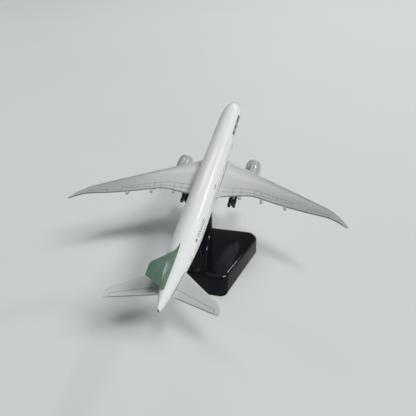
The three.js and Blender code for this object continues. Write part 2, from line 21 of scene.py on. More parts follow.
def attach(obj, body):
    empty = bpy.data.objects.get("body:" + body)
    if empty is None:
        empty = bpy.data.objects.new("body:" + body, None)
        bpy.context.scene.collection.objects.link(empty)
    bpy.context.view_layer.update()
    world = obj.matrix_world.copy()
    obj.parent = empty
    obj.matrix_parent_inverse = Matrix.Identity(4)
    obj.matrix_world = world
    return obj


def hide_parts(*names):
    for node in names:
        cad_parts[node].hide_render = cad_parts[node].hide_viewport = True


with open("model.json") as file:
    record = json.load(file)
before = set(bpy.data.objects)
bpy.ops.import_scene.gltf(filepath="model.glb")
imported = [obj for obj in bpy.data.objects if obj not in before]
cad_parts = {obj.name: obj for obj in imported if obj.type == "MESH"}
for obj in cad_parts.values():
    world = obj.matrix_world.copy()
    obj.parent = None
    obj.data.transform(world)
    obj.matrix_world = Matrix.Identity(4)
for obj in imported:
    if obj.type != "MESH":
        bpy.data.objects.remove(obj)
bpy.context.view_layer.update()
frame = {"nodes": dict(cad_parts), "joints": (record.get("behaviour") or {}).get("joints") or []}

MM = 0.001
TINY = 1e-12
SIDES = {"left": -1, "right": 1}
joints = {joint["name"]: joint for joint in frame["joints"]}

# The aeroplane's place: its vertical is the axis that it lifts off along, and the nose axle fixes the rest.
NOSE_AXLE = Vector((0, -15.9, -13.15)) * MM
lift_axis = joints["aircraft_lift"]["axis"]
PITCH = math.atan2(-lift_axis[1], lift_axis[2])
TURN = Matrix.Rotation(PITCH, 4, "X")
AIR = Matrix.Translation(Vector(joints["nose_spin"]["pos_m"]) - TURN @ NOSE_AXLE) @ TURN
WORLD = Matrix.Identity(4)


def add_object(name, data):
    """A new object, linked to the scene."""
    made = bpy.data.objects.new(name, data)
    bpy.context.scene.collection.objects.link(made)
    return made


# ---------------- camera
CAMERA_AT = Vector((0.06326, -0.21345, 0.20635))
CAMERA_RIGHT = Vector((0.96674, 0.25028, -0.05261))
CAMERA_LOOK = Vector((-0.23243, 0.77400, -0.58898))
FOCAL = 35.412
SHIFT = (0.00396, 0.02345)


def make_camera():
    data = bpy.data.cameras.new("camera")
    data.lens = FOCAL
    data.sensor_width = 36
    data.shift_x, data.shift_y = SHIFT
    data.clip_start = 0.005
    data.clip_end = 20
    camera = add_object("camera", data)
    look = CAMERA_LOOK.normalized()
    right = (CAMERA_RIGHT - look * CAMERA_RIGHT.dot(look)).normalized()
    turn = Matrix((right, right.cross(look), -look)).transposed()
    camera.matrix_world = Matrix.Translation(CAMERA_AT) @ turn.to_4x4()
    bpy.context.scene.camera = camera


make_camera()


# ---------------- materials
def new_material(name, colour, roughness, metallic=0.0, coat=0.0, coat_roughness=0.05):
    material = bpy.data.materials.new(name)
    material.use_nodes = True
    set_shader(material, {
        "Base Color": (*colour, 1), "Roughness": roughness, "Metallic": metallic,
        "Coat Weight": coat, "Coat Roughness": coat_roughness,
    })
    return material


def set_shader(material, values):
    shader = material.node_tree.nodes["Principled BSDF"]
    for key, value in values.items():
        shader.inputs[key].default_value = value


def node(owner, kind, inputs=(), **settings):
    """A new node in a material or a world; its inputs are numbers, or sockets to link."""
    made = owner.node_tree.nodes.new(kind)
    for key, value in settings.items():
        setattr(made, key, value)
    for key, value in dict(inputs).items():
        if isinstance(value, bpy.types.NodeSocket):
            owner.node_tree.links.new(value, made.inputs[key])
        else:
            made.inputs[key].default_value = value
    return made


def connect(material, socket, name):
    shader = material.node_tree.nodes["Principled BSDF"]
    material.node_tree.links.new(socket, shader.inputs[name])


def noise(material, scale, detail, roughness=0.5):
    place = node(material, "ShaderNodeTexCoord").outputs["Object"]
    inputs = {"Vector": place, "Scale": scale, "Detail": detail, "Roughness": roughness}
    return node(material, "ShaderNodeTexNoise", inputs).outputs["Fac"]


def spread(owner, value, low, high, to_low, to_high, **settings):
    """Maps a value from one range to another."""
    inputs = {"Value": value, "From Min": low, "From Max": high, "To Min": to_low, "To Max": to_high}
    return node(owner, "ShaderNodeMapRange", inputs, **settings).outputs["Result"]


def blend_colours(material, share, colours):
    first, second = colours
    made = node(material, "ShaderNodeMix", {"Factor": share}, data_type="RGBA")
    made.inputs[6].default_value = (*first, 1)
    made.inputs[7].default_value = (*second, 1)
    connect(material, made.outputs[2], "Base Color")


def vary_colour(material, texture, band, colours, most=1):
    """Noise, from one end of a band to the other, blends the first colour into the second."""
    blend_colours(material, spread(material, noise(material, *texture), *band, 0, most), colours)


def vary_roughness(material, texture, band, values):
    connect(material, spread(material, noise(material, *texture), *band, *values), "Roughness")


def bumpy(material, texture, strength, distance):
    inputs = {"Height": noise(material, *texture), "Strength": strength, "Distance": distance}
    connect(material, node(material, "ShaderNodeBump", inputs).outputs["Normal"], "Normal")


def enamel(name, colour, shade, roughness, coat, coat_roughness=0.12, span=None):
    """Sprayed paint over zinc: a faint orange peel, slow changes of tone and a patchy polish.

    With a span, two distances in metres from the middle of the aeroplane, the colour goes over into the shade
    between them: a painted reflection, lighter inboard and darker outboard.
    """
    material = new_material(name, colour, roughness, coat=coat, coat_roughness=coat_roughness)
    if span:
        # Painted reflection: paler near the fuselage, darker out along the wing.
        place = node(material, "ShaderNodeTexCoord").outputs["Object"]
        across = node(material, "ShaderNodeSeparateXYZ", {"Vector": place}).outputs["X"]
        away = node(material, "ShaderNodeMath", {0: across}, operation="ABSOLUTE").outputs[0]
        blend_colours(material, spread(material, away, *span, 0, 1), (colour, shade))
    else:
        vary_colour(material, (45, 4), (0.35, 0.7), (colour, shade))
    vary_roughness(material, (160, 5, 0.6), (0.3, 0.7), (roughness * 0.92, roughness * 1.1))
    bumpy(material, (900, 2), 0.02, 0.0002)
    return material


def printed(name, colour, roughness):
    """Pad-printed ink: thin, flat and slightly uneven."""
    material = new_material(name, colour, roughness)
    pale = tuple(min(1, value * 1.35 + 0.01) for value in colour)
    vary_colour(material, (700, 4), (0.4, 0.75), (colour, pale))
    return material


def metal(name, colour, roughness):
    material = new_material(name, colour, roughness, metallic=1.0)
    vary_roughness(material, (600, 4, 0.6), (0.3, 0.7), (roughness * 0.7, roughness * 1.4))
    bumpy(material, (1500, 3), 0.08, 0.0001)
    return material


def black_plastic(name, ior, side_gloss=None):
    """Polished moulding with handling haze and a little dust. With a side gloss, upright faces mirror less,
    which paints shade on the sides.
    """
    black, dust = (0.004, 0.0048, 0.0065), (0.05, 0.05, 0.05)
    material = new_material(name, black, 0.07)
    set_shader(material, {"IOR": ior, "Specular Tint": (0.84, 0.92, 1, 1)})
    if side_gloss is not None:
        # Painted shade: upright faces mirror less and look darker.
        facing = node(material, "ShaderNodeTexCoord").outputs["Normal"]
        up = node(material, "ShaderNodeSeparateXYZ", {"Vector": facing}).outputs["Z"]
        connect(material, spread(material, up, 0.1, 0.9, side_gloss, 0.5), "Specular IOR Level")
    vary_roughness(material, (60, 5, 0.65), (0.35, 0.75), (0.05, 0.13))
    vary_colour(material, (2600, 2), (0.72, 0.8), (black, dust), most=0.3)
    bumpy(material, (120, 2), 0.04, 0.0003)
    return material


def rubber():
    material = new_material("tyre rubber", (0.016, 0.016, 0.017), 0.7)
    vary_roughness(material, (900, 4), (0.3, 0.7), (0.6, 0.85))
    bumpy(material, (3000, 3), 0.3, 0.0001)
    return material


WHITE = enamel("white enamel", (0.735, 0.755, 0.755), (0.725, 0.742, 0.742), 0.34, 0.5, 0.04)
GREY = enamel("grey enamel", (0.44, 0.458, 0.455), (0.42, 0.437, 0.435), 0.38, 0.4)
# The wing's grey is paler inboard and darker outboard: a painted reflection of the room's light.
WING_GREY = enamel(
    "wing grey enamel", (0.52, 0.54, 0.535), (0.36, 0.376, 0.374), 0.38, 0.4, span=(0.022, 0.06)
)
# Paler than the wings' grey: a painted reflection on the stabilisers.
STABILISER_SHEEN_GREY = enamel("stabiliser grey, painted sheen", (0.52, 0.545, 0.54), (0.50, 0.52, 0.515), 0.4, 0.2)
COWL = enamel("cowl enamel", (0.36, 0.375, 0.385), (0.34, 0.355, 0.365), 0.22, 0.7, 0.05)
GREEN = enamel("green enamel", (0.022, 0.112, 0.045), (0.018, 0.098, 0.038), 0.38, 0.1)
GEAR = enamel("gear grey", (0.13, 0.135, 0.14), (0.11, 0.115, 0.12), 0.45, 0)
INK_GREEN = printed("green ink", (0.012, 0.075, 0.036), 0.35)
INK_GREY = printed("grey ink", (0.055, 0.058, 0.062), 0.5)
INK_DARK_GREEN = printed("dark green ink", (0.012, 0.045, 0.02), 0.4)
# Dark strips on the trailing edges and at the wing and stabiliser roots: painted shade.
PAINTED_EDGE_SHADE = printed("edge shadow grey", (0.05, 0.052, 0.055), 0.55)
INK_PALE = printed("pale ink", (0.36, 0.46, 0.46), 0.4)
GLASS_INK = printed("window ink", (0.02, 0.024, 0.03), 0.15)
SILVER = metal("bright metal", (0.62, 0.63, 0.64), 0.22)
DULL = metal("dull metal", (0.30, 0.30, 0.31), 0.42)
STEEL = metal("plated steel", (0.55, 0.56, 0.57), 0.28)
INK_MARK = printed("mark grey", (0.16, 0.165, 0.16), 0.5)
SOOT = printed("outlet soot", (0.10, 0.075, 0.06), 0.6)
DARK = new_material("intake shadow", (0.02, 0.02, 0.022), 0.6)
BLACK = black_plastic("black gloss plastic", 1.3)
# Its upright faces mirror less: painted shade on the base's sides.
BASE_BLACK = black_plastic("base gloss plastic", 1.48, 0.04)
RUBBER = rubber()


# ---------------- mesh making
@contextlib.contextmanager
def edited(mesh):
    """Opens a mesh for the bmesh tools and writes it back."""
    work = bmesh.new()
    work.from_mesh(mesh)
    yield work
    work.to_mesh(mesh)
    work.free()


def outward(mesh):
    """Turns every face to look out of the solid."""
    with edited(mesh) as work:
        bmesh.ops.recalc_face_normals(work, faces=work.faces)
        if work.calc_volume(signed=True) < 0:
            bmesh.ops.reverse_faces(work, faces=work.faces)


def triangulate(mesh):
    """Splits every face into triangles, so that the cuts that follow find no face with a hole in it."""
    with edited(mesh) as work:
        bmesh.ops.triangulate(work, faces=work.faces)


def smooth(mesh, sharp):
    """Smooth shading, broken at edges sharper than an angle in degrees."""
    mesh.shade_smooth()
    mesh.set_sharp_from_angle(angle=radians(sharp))


def new_mesh(name, solid):
    verts, faces = solid
    mesh = bpy.data.meshes.new(name)
    mesh.from_pydata((np.asarray(verts, float) * MM).tolist(), [], faces)
    return mesh


def add_piece(name, solid, material, replaced=(), body="aircraft", place=AIR, sharp=35):
    """A solid, put in place and hung on its CAD body."""
    mesh = new_mesh(name, solid)
    mesh.transform(place)
    mesh.validate()
    mesh.materials.append(material)
    outward(mesh)
    smooth(mesh, sharp)
    made = add_object(name, mesh)
    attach(made, body)
    if replaced:
        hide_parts(*replaced)
    return made


def modify(made, kind, **settings):
    """Adds a modifier and applies it to the mesh."""
    modifier = made.modifiers.new(kind.lower(), kind)
    for key, value in settings.items():
        setattr(modifier, key, value)
    bpy.context.view_layer.update()
    graph = bpy.context.evaluated_depsgraph_get()
    mesh = bpy.data.meshes.new_from_object(made.evaluated_get(graph))
    made.modifiers.clear()
    made.data = mesh


def carve(made, solid, place=AIR, operation="DIFFERENCE"):
    """Cuts a solid out of a piece."""
    mesh = new_mesh("tool", solid)
    outward(mesh)
    cutter = add_object("tool", mesh)
    cutter.matrix_world = place
    modify(made, "BOOLEAN", object=cutter, operation=operation, solver="EXACT")
    bpy.data.objects.remove(cutter)
    made.data.set_sharp_from_angle(angle=radians(35))


def weld(made, solid, place=AIR):
    """Joins a solid on to a piece."""
    carve(made, solid, place, "UNION")


def bevelled(made, width):
    """Rounds a piece's edges by a width in millimetres."""
    modify(made, "BEVEL", width=width * MM, segments=3, limit_method="ANGLE", angle_limit=radians(40))
    smooth(made.data, 50)


# ---------------- solids and curves
def full_turn(count):
    return np.linspace(0, 2 * pi, count, endpoint=False)


def loft(rings):
    """Quads over a row of rings of equal length, and a flat face over each end."""
    rings = [np.asarray(ring, float) for ring in rings]
    count = len(rings[0])
    faces = []
    for r in range(len(rings) - 1):
        for i in range(count):
            a, b = r * count + i, r * count + (i + 1) % count
            faces.append((a, b, b + count, a + count))
    last = (len(rings) - 1) * count
    faces.append(tuple(range(count - 1, -1, -1)))
    faces.append(tuple(range(last, last + count)))
    return np.concatenate(rings), faces


def join(*solids):
    """Several solids as one."""
    verts, faces, base = [], [], 0
    for part_verts, part_faces in solids:
        verts.append(np.asarray(part_verts, float))
        faces += [tuple(index + base for index in face) for face in part_faces]
        base += len(part_verts)
    return np.concatenate(verts), faces


def lathe(profile, sides, at=(0, 0, 0), axis="y"):
    """A turned body from (radius, distance along) points; a profile that ends where it starts is a ring."""
    ring_shaped = profile[0] == profile[-1]
    turn = full_turn(sides)
    verts, rows, faces = [], [], []
    for radius, along in profile[:-1] if ring_shaped else profile:
        count = 1 if radius < 1e-6 else sides
        c, s = (radius * np.cos(turn))[:count], (radius * np.sin(turn))[:count]
        flat = np.full(count, float(along))
        rows.append([len(verts) + i % count for i in range(sides)])
        verts += list(np.stack({"x": (flat, c, s), "y": (c, flat, s), "z": (c, s, flat)}[axis], 1))
    pairs = list(zip(rows, rows[1:])) + ([(rows[-1], rows[0])] if ring_shaped else [])
    for first, second in pairs:
        for i in range(sides):
            j = (i + 1) % sides
            face = tuple(dict.fromkeys((first[i], first[j], second[j], second[i])))
            if len(face) > 2:
                faces.append(face)
    if not ring_shaped:
        faces += [tuple(row) for row in (rows[0], rows[-1]) if row[0] != row[1]]
    return np.array(verts) + np.array(at), faces


def block(low, high):
    """A box between two corners."""
    faces = [(0, 1, 3, 2), (4, 6, 7, 5), (0, 4, 5, 1), (2, 3, 7, 6), (0, 2, 6, 4), (1, 5, 7, 3)]
    return np.array(list(itertools.product(*zip(low, high))), float), faces


def tube(a, b, radius, sides):
    """A round bar from one point to another."""
    a, b = np.array(a, float), np.array(b, float)
    along = (b - a) / np.linalg.norm(b - a)
    side = np.cross(along, (0, 0, 1) if abs(along[2]) < 0.9 else (0, 1, 0))
    side /= np.linalg.norm(side)
    up = np.cross(along, side)
    turn = full_turn(sides)
    ring = radius * (np.outer(np.cos(turn), side) + np.outer(np.sin(turn), up))
    return loft([a + ring, b + ring])


def squared(count, power_across, power_up):
    """Points round a circle of radius 1 that powers below 1 push out towards its square."""
    points = []
    for turn in full_turn(count):
        c, s = cos(turn), sin(turn)
        points.append((copysign(abs(c) ** power_across, c), copysign(abs(s) ** power_up, s)))
    return points


def corner(x, y, radius, start, count):
    """A quarter of a circle round a point, from a start in degrees."""
    turns = np.radians(np.linspace(start, start + 90, count))
    return [(x + radius * cos(turn), y + radius * sin(turn)) for turn in turns]


def level(bottom, top, share):
    """A height between the bottom, at a share of -1, and the top, at 1."""
    return (top + bottom) / 2 + (top - bottom) / 2 * share


def part_way(value, start, length):
    """How far a value is along a stretch, from 0 to 1."""
    return min(max((value - start) / length, 0), 1)


def straight(start, end, count, endpoint=True):
    """Points along a straight line between two (u, v) points."""
    (u0, v0), (u1, v1) = start, end
    return [(u0 + (u1 - u0) * t, v0 + (v1 - v0) * t) for t in np.linspace(0, 1, count, endpoint=endpoint)]


def smooth_profile(points, steps=6):
    """A soft line through profile points (Catmull-Rom)."""
    pts = [np.array(p, float) for p in points]
    pts = [2 * pts[0] - pts[1]] + pts + [2 * pts[-1] - pts[-2]]
    line = []
    for a, b, c, d in zip(pts, pts[1:], pts[2:], pts[3:]):
        for t in np.linspace(0, 1, steps, endpoint=False):
            bend = (2 * a - 5 * b + 4 * c - d) * t * t
            line.append(tuple(0.5 * (2 * b + (c - a) * t + bend + (3 * b - a - 3 * c + d) * t ** 3)))
    return line + [tuple(pts[-2])]


def curve_through(xs, ys):
    """A smooth function through points, straight where they are straight (Hermite)."""
    xs, ys = np.array(xs, float), np.array(ys, float)
    steps = np.diff(xs)
    slope = np.diff(ys) / steps
    inner = (slope[:-1] * steps[1:] + slope[1:] * steps[:-1]) / (steps[1:] + steps[:-1])
    tangents = np.concatenate([[slope[0]], inner, [slope[-1]]])

    def value(x):
        i = int(np.clip(np.searchsorted(xs, x) - 1, 0, len(xs) - 2))
        h = xs[i + 1] - xs[i]
        t = (x - xs[i]) / h
        return (
            ys[i] * (2 * t ** 3 - 3 * t * t + 1) + ys[i + 1] * (3 * t * t - 2 * t ** 3)
            + h * (tangents[i] * (t ** 3 - 2 * t * t + t) + tangents[i + 1] * (t ** 3 - t * t))
        )

    return value


def last_inside(inside, low, high):
    """Finds, by halving, where a test that holds at the low end stops holding."""
    for _ in range(30):
        middle = (low + high) / 2
        if inside(middle):
            low = middle
        else:
            high = middle
    return middle


# ---------------- printed marks
LINE_HEIGHT = 0.02
PLATE_HEIGHT = 0.03


def skin_normal(surface, u, v, facing):
    """The unit normal of a surface, on the side that the facing function looks to."""
    step = 0.02
    along_u = surface(u + step, v) - surface(u - step, v)
    along_v = surface(u, v + step) - surface(u, v - step)
    normal = np.cross(along_u, along_v)
    normal = normal / (np.linalg.norm(normal) + TINY)
    return normal * (1 if normal @ facing(surface(u, v)) > 0 else -1)


def stripe(surface, path, width, facing):
    """A thin raised line that follows a surface along (u, v) points; its width may be a function of 0 to 1."""
    at = [surface(u, v) for u, v in path]
    rings = []
    for i, (u, v) in enumerate(path):
        along = at[min(i + 1, len(at) - 1)] - at[max(i - 1, 0)]
        along = along / (np.linalg.norm(along) + TINY)
        normal = skin_normal(surface, u, v, facing)
        wide = width(i / (len(path) - 1)) if callable(width) else width
        half = np.cross(along, normal) * wide / 2
        up, down = normal * LINE_HEIGHT, -normal * LINE_HEIGHT * 2
        rings.append([at[i] + half + up, at[i] - half + up, at[i] - half + down, at[i] + half + down])
    return loft(rings)


def patch(surface, outline_low, outline_high, steps, facing):
    """A thin raised plate between two (u, v) lines with the same number of points."""
    rings = []
    for low, high in zip(outline_low, outline_high):
        top, bottom = [], []
        for u, v in straight(low, high, steps + 1):
            point, normal = surface(u, v), skin_normal(surface, u, v, facing)
            top.append(point + normal * PLATE_HEIGHT)
            bottom.append(point - normal * PLATE_HEIGHT * 2)
        rings.append(top + bottom[::-1])
    return loft(rings)


# ---------------- fuselage
BODY_LENGTH = 197.5
NOSE_TIP_Z = -2.4
SEAT = 0.05


def round_end(s, length, power, fullness):
    """Climbs from 0 at the nose to 1, as the outline of a rounded end does."""
    return (1 - (1 - part_way(s, 0, length)) ** power) ** fullness


def body_section(s):
    """Half width, top and bottom of the fuselage at a station."""
    swell = part_way(s, 15, 75)
    girth = 7.8 + 0.55 * swell * swell * (3 - 2 * swell)
    tail_half = 0.7 + 7.7 * (1 - part_way(s, 135, 62.5) ** 2.3) ** 0.95
    half = min(girth * round_end(s, 29, 2.3, 0.57), tail_half)
    top = NOSE_TIP_Z + 10.8 * round_end(s, 27, 2.6, 0.76) - 2.0 * part_way(s, 157, 40.5) ** 2
    bottom = NOSE_TIP_Z - 6 * round_end(s, 19, 2.2, 0.5) + 10.2 * part_way(s, 132.5, 65) ** 1.4
    return half, top, bottom


def body(s, degrees):
    """A point on the fuselage: the angle climbs from starboard to the crown."""
    half, top, bottom = body_section(s)
    turn = radians(degrees)
    return np.array([half * cos(turn), -s, level(bottom, top, sin(turn))])


def body_ring(s):
    return np.array([body(s, degrees) for degrees in np.linspace(0, 360, 144, endpoint=False)])


def from_axis(point):
    _, top, bottom = body_section(-point[1])
    return np.array([point[0], 0, point[2] - level(bottom, top, 0)])


def body_reach(s, z):
    """How far out the fuselage's skin is at a height."""
    half, top, bottom = body_section(s)
    rise = (z - level(bottom, top, 0)) / ((top - bottom) / 2)
    return half * sqrt(max(0.0, 1 - rise * rise))


def body_crown(s, x):
    """The height of the upper skin over a distance from the symmetry plane."""
    half, top, bottom = body_section(s)
    across = min(abs(x) / half, 1)
    return level(bottom, top, sqrt(1 - across * across))


nose_rows = 30 * (np.linspace(0.02, 1, 60) ** 2)
tail_rows = np.linspace(133, BODY_LENGTH - 0.5, 70)
body_rings = [body_ring(s) for s in (*nose_rows, *np.linspace(31, 131, 40), *tail_rows)]
# The cut end of the tail cone has a small worn edge.
for inset, s in ((0.04, BODY_LENGTH - 0.2), (0.12, BODY_LENGTH - 0.05), (0.2, BODY_LENGTH)):
    half, top, bottom = body_section(s)
    middle = np.array([0, -s, level(bottom, top, 0)])
    body_rings.append(middle + (body_ring(s) - middle) * (1 - inset / half))
fuselage = add_piece("fuselage", loft(body_rings), WHITE, ("fuselage_shell",))
# The socket for the stand's peg.
carve(fuselage, block((-3.8, -108.2, -12), (3.8, -98, -2.1)))

# Marks on the skin: stations along it, and angles round it, or for doors millimetres round it.
PANES = (
    ((4.6, 86.5), (7.0, 86.5), (7.2, 62), (4.9, 55)),
    ((5.1, 52.5), (7.35, 59.5), (8.3, 44), (6.4, 34)),
    ((6.8, 32), (8.6, 42), (10.6, 37), (9.7, 27)),
)
DOORS = (16.5, 57.5, 92.0, 131.5, 163.0)
DOOR_HALF, DOOR_SILL, DOOR_HEAD = 0.85, 3.0 - 3.4, 3.0
WINDOW_PITCH, WINDOW_ANGLE = 1.72, 13.5
WINDOW_LENGTH, WINDOW_HEIGHT, WINDOW_CORNER = 0.5, 0.78, 0.22
BANDS = ((24.5, 34.8), (35.5, 43.0), (43.7, 49.6))
BAND_LOW, BAND_HIGH = 18.5, 31.5
SMALL_MARKS = ((52.0, 53.4, 23, 28), (104.8, 106.4, 25, 34), (107.2, 108.4, 25, 31), (150.4, 152.4, 24, 34))
DASH_ROWS = ((23.5, 28.5), (31, 35.5))


def on_side(side, degrees):
    return degrees if side > 0 else 180 - degrees


def degrees_per_mm(s):
    return math.degrees(1 / body_section(s)[0])


def pane(side, corners):
    """A glazing pane, wrapped round the nose: its corners run round it."""
    first, second, third, fourth = corners
    low, high = (
        [(s, on_side(side, angle)) for s, angle in straight(start, end, 9)]
        for start, end in ((first, fourth), (second, third))
    )
    return patch(body, low, high, 6, from_axis)


def cabin_window(side, s):
    low, high = [], []
    angle = on_side(side, WINDOW_ANGLE)
    for t in np.linspace(-1, 1, 9):
        edge = WINDOW_LENGTH / 2 * (1 - abs(t))
        shrink = 1 if edge > WINDOW_CORNER else sqrt(max(0.0, 1 - (1 - edge / WINDOW_CORNER) ** 2))
        reach = (WINDOW_HEIGHT / 2 - WINDOW_CORNER + WINDOW_CORNER * shrink) * degrees_per_mm(s)
        low.append((s + t * WINDOW_LENGTH / 2, angle - reach))
        high.append((s + t * WINDOW_LENGTH / 2, angle + reach))
    return patch(body, low, high, 2, from_axis)


def door_outline(side, s):
    front, back = s - DOOR_HALF, s + DOOR_HALF
    corners = ((front, DOOR_SILL), (back, DOOR_SILL), (back, DOOR_HEAD), (front, DOOR_HEAD), (front, DOOR_SILL))
    solids = []
    for start, end in zip(corners, corners[1:]):
        path = [(at, on_side(side, high * degrees_per_mm(s))) for at, high in straight(start, end, 9)]
        solids.append(stripe(body, path, 0.09, from_axis))
    return join(*solids)


def skin_plate(side, stations, angles, steps, nick=0):
    """A plate between two angles; a nick lifts the front end of its lower edge."""
    low, high = angles
    lower = [(s, on_side(side, low)) for s in stations]
    lower[0] = (stations[0], on_side(side, low + nick))
    return patch(body, lower, [(s, on_side(side, high)) for s in stations], steps, from_axis)


panes, windows, doors, bands, small_marks = [], [], [], [], []
for side in SIDES.values():
    panes += [pane(side, corners) for corners in PANES]
    for s in np.arange(21, 158, WINDOW_PITCH):
        if min(abs(s - door) for door in DOORS) >= 2.2:
            windows.append(cabin_window(side, s))
    doors += [door_outline(side, s) for s in DOORS]
    # Plain bands stand where a title would be, with a few small marks and two rows of dashes further aft.
    for front, back in BANDS:
        bands.append(skin_plate(side, np.linspace(front, back, 30), (BAND_LOW, BAND_HIGH), 6, 0.7))
    for front, back, low, high in SMALL_MARKS:
        small_marks.append(skin_plate(side, np.linspace(front, back, 8), (low, high), 4))
    for index, s in enumerate(np.arange(134, 148.5, 0.95)):
        small_marks.append(skin_plate(side, np.linspace(s, s + 1.0, 4), DASH_ROWS[index % 2], 3))
add_piece("flight_deck_glazing", join(*panes), GLASS_INK)
add_piece("cabin_windows", join(*windows), GLASS_INK)
add_piece("door_outlines", join(*doors), INK_GREY)
add_piece("title_band", join(*bands), INK_GREEN)
add_piece("small_marks", join(*small_marks), INK_MARK)

# Tail cone outlet: a flat oval plug with a bevelled rim.
half, top, bottom = body_section(BODY_LENGTH)
verts, faces = lathe([(0, -0.08), (0.86, -0.08), (1, 0), (1, 0.5), (0, 0.5)], 48)
verts = verts * (half - 0.3, 1, (top - bottom) / 2 - 0.5) + (0, -BODY_LENGTH, level(bottom, top, 0))
add_piece("tail_outlet", (verts, faces), SOOT)


# ---------------- lifting surfaces
def airfoil(u):
    """Half thickness along the chord, 1 at its thickest."""
    u = min(max(u, 0.0), 1.0)
    return 10 * (0.2969 * sqrt(u) - 0.126 * u - 0.3516 * u * u + 0.2843 * u ** 3 - 0.1015 * u ** 4)


def around_section(per_face):
    """(chord fraction, face) pairs round a section, closer together at its two edges."""
    along = (1 - np.cos(np.linspace(0, pi, per_face))) / 2
    return [(u, 1) for u in along] + [(u, -1) for u in along[::-1]][:-1]


class Plane:
    """A wing or stabiliser, from stations of (distance out, leading edge, trailing edge, height, thickness)."""

    def __init__(self, stations, side, edge):
        table = np.array(stations, float)
        curves = (curve_through(table[:, 0], table[:, k]) for k in range(1, 5))
        self.lead, self.trail, self.height, self.ratio = curves
        self.tip, self.side, self.edge = table[-1, 0], side, edge

    def chord_line(self, x):
        """The leading edge, the chord and half the blunt trailing edge."""
        lead = self.lead(x)
        chord = self.trail(x) - lead
        return lead, chord, min(self.edge, chord * 0.08)

    def point(self, x, u, up):
        lead, chord, blunt = self.chord_line(x)
        half = airfoil(u) * chord * self.ratio(x) / 2 + blunt * min(max(u, 0), 1) ** 2
        return np.array([self.side * x, -(lead + chord * u), self.height(x) + up * half])

    def root(self, u, up):
        """Where a line along the span meets the fuselage, seated just under its skin."""
        def inside(x):
            _, y, z = self.point(x, u, up)
            return x < body_reach(-y, z)

        return last_inside(inside, 0.5, 12.0) - SEAT

    def solid(self, rows, per_face):
        around = around_section(per_face)
        roots = [self.root(u, up) for u, up in around]
        rings = []
        for t in np.linspace(0, 1, rows) ** 0.9:
            rings.append([self.point(r + (self.tip - r) * t, u, up) for r, (u, up) in zip(roots, around)])
        return loft(rings)

    def line(self, up, path, width):
        """A line on the upper (1) or lower (-1) face, along (out, chord fraction) points."""
        return stripe(lambda x, u: self.point(x, u, up), path, width, lambda point: (0, 0, up))

    def drawn(self, up, lines, width):
        """Lines on one face, each given by its corners."""
        solids = []
        for line in lines:
            path = []
            for start, end in zip(line, line[1:]):
                steps = max(3, int(abs(end[0] - start[0]) * 1.5), int(abs(end[1] - start[1]) * 20))
                path += straight(start, end, steps, endpoint=False)
            solids.append(self.line(up, path + [line[-1]], width))
        return join(*solids)

    def edge_shade_strip(self, inner):
        """Painted shade on the trailing edge: a thin dark strip over the lower part of the blunt edge."""
        rings = []
        out = 0.02
        for x in np.linspace(inner, self.tip - 0.3, 140):
            lead, chord, blunt = self.chord_line(x)
            y, z = -(lead + chord), self.height(x)
            high, low = blunt * 0.7, -blunt * 1.15
            corners = ((-out, high), (-out, low), (0.35, low - 0.02), (0.2, high))
            rings.append([(self.side * x, y + dy, z + dz) for dy, dz in corners])
        return loft(rings)

    def edges(self, inner, width):
        """Painted shade at the trailing edge, with a dark line along it on top, and painted shade lines where
        the skin meets the fuselage.
        """
        top_shade_line = ((inner + 0.8, 0.988), (self.tip - 3, 0.975))
        solids = [self.edge_shade_strip(inner), self.drawn(1, [top_shade_line], width)]
        # Painted shade lines where the skin meets the fuselage.
        for up in (1, -1):
            path = [(self.root(u, up) + 0.16, u) for u in np.linspace(0.03, 0.97, 40)]
            solids.append(self.line(up, path, 0.24))
        return join(*solids)


WING_STATIONS = (
    (7.0, 69.7, 107.2, -4.2, 0.115), (17.0, 75.8, 105.8, -3.5, 0.11), (28.3, 82.7, 104.9, -2.7, 0.105),
    (46.0, 93.5, 110.9, -1.5, 0.1), (63.0, 104.2, 116.5, -0.3, 0.095), (71.0, 109.4, 118.6, 0.27, 0.095),
    (77.0, 113.5, 120.5, 0.7, 0.09), (80.0, 116.3, 122.1, 0.9, 0.09), (83.0, 119.8, 124.3, 1.1, 0.095),
    (85.4, 123.5, 126.3, 1.25, 0.11), (87.0, 126.6, 127.3, 1.36, 0.25),
)
STABILISER_STATIONS = (
    (1.6, 167.9, 187.0, 2.0, 0.1), (15.0, 179.1, 191.5, 4.0, 0.095), (24.0, 186.4, 194.5, 5.4, 0.095),
    (27.5, 189.2, 195.6, 5.93, 0.1), (28.9, 190.9, 196.05, 6.14, 0.11), (29.5, 192.3, 196.3, 6.23, 0.12),
    (29.75, 193.7, 196.4, 6.26, 0.14),
)
# Flap track fairings: distance out, station of the tail, length and height.
FLAP_TRACKS = ((22.1, 106.4, 11.0, -4.3), (36.2, 109.3, 9.5, -3.2), (51.2, 114.2, 8.0, -2.0))


def across_chord(*places):
    """Straight lines along the chord: (distance out, from, to)."""
    return tuple(((x, start), (x, end)) for x, start, end in places)


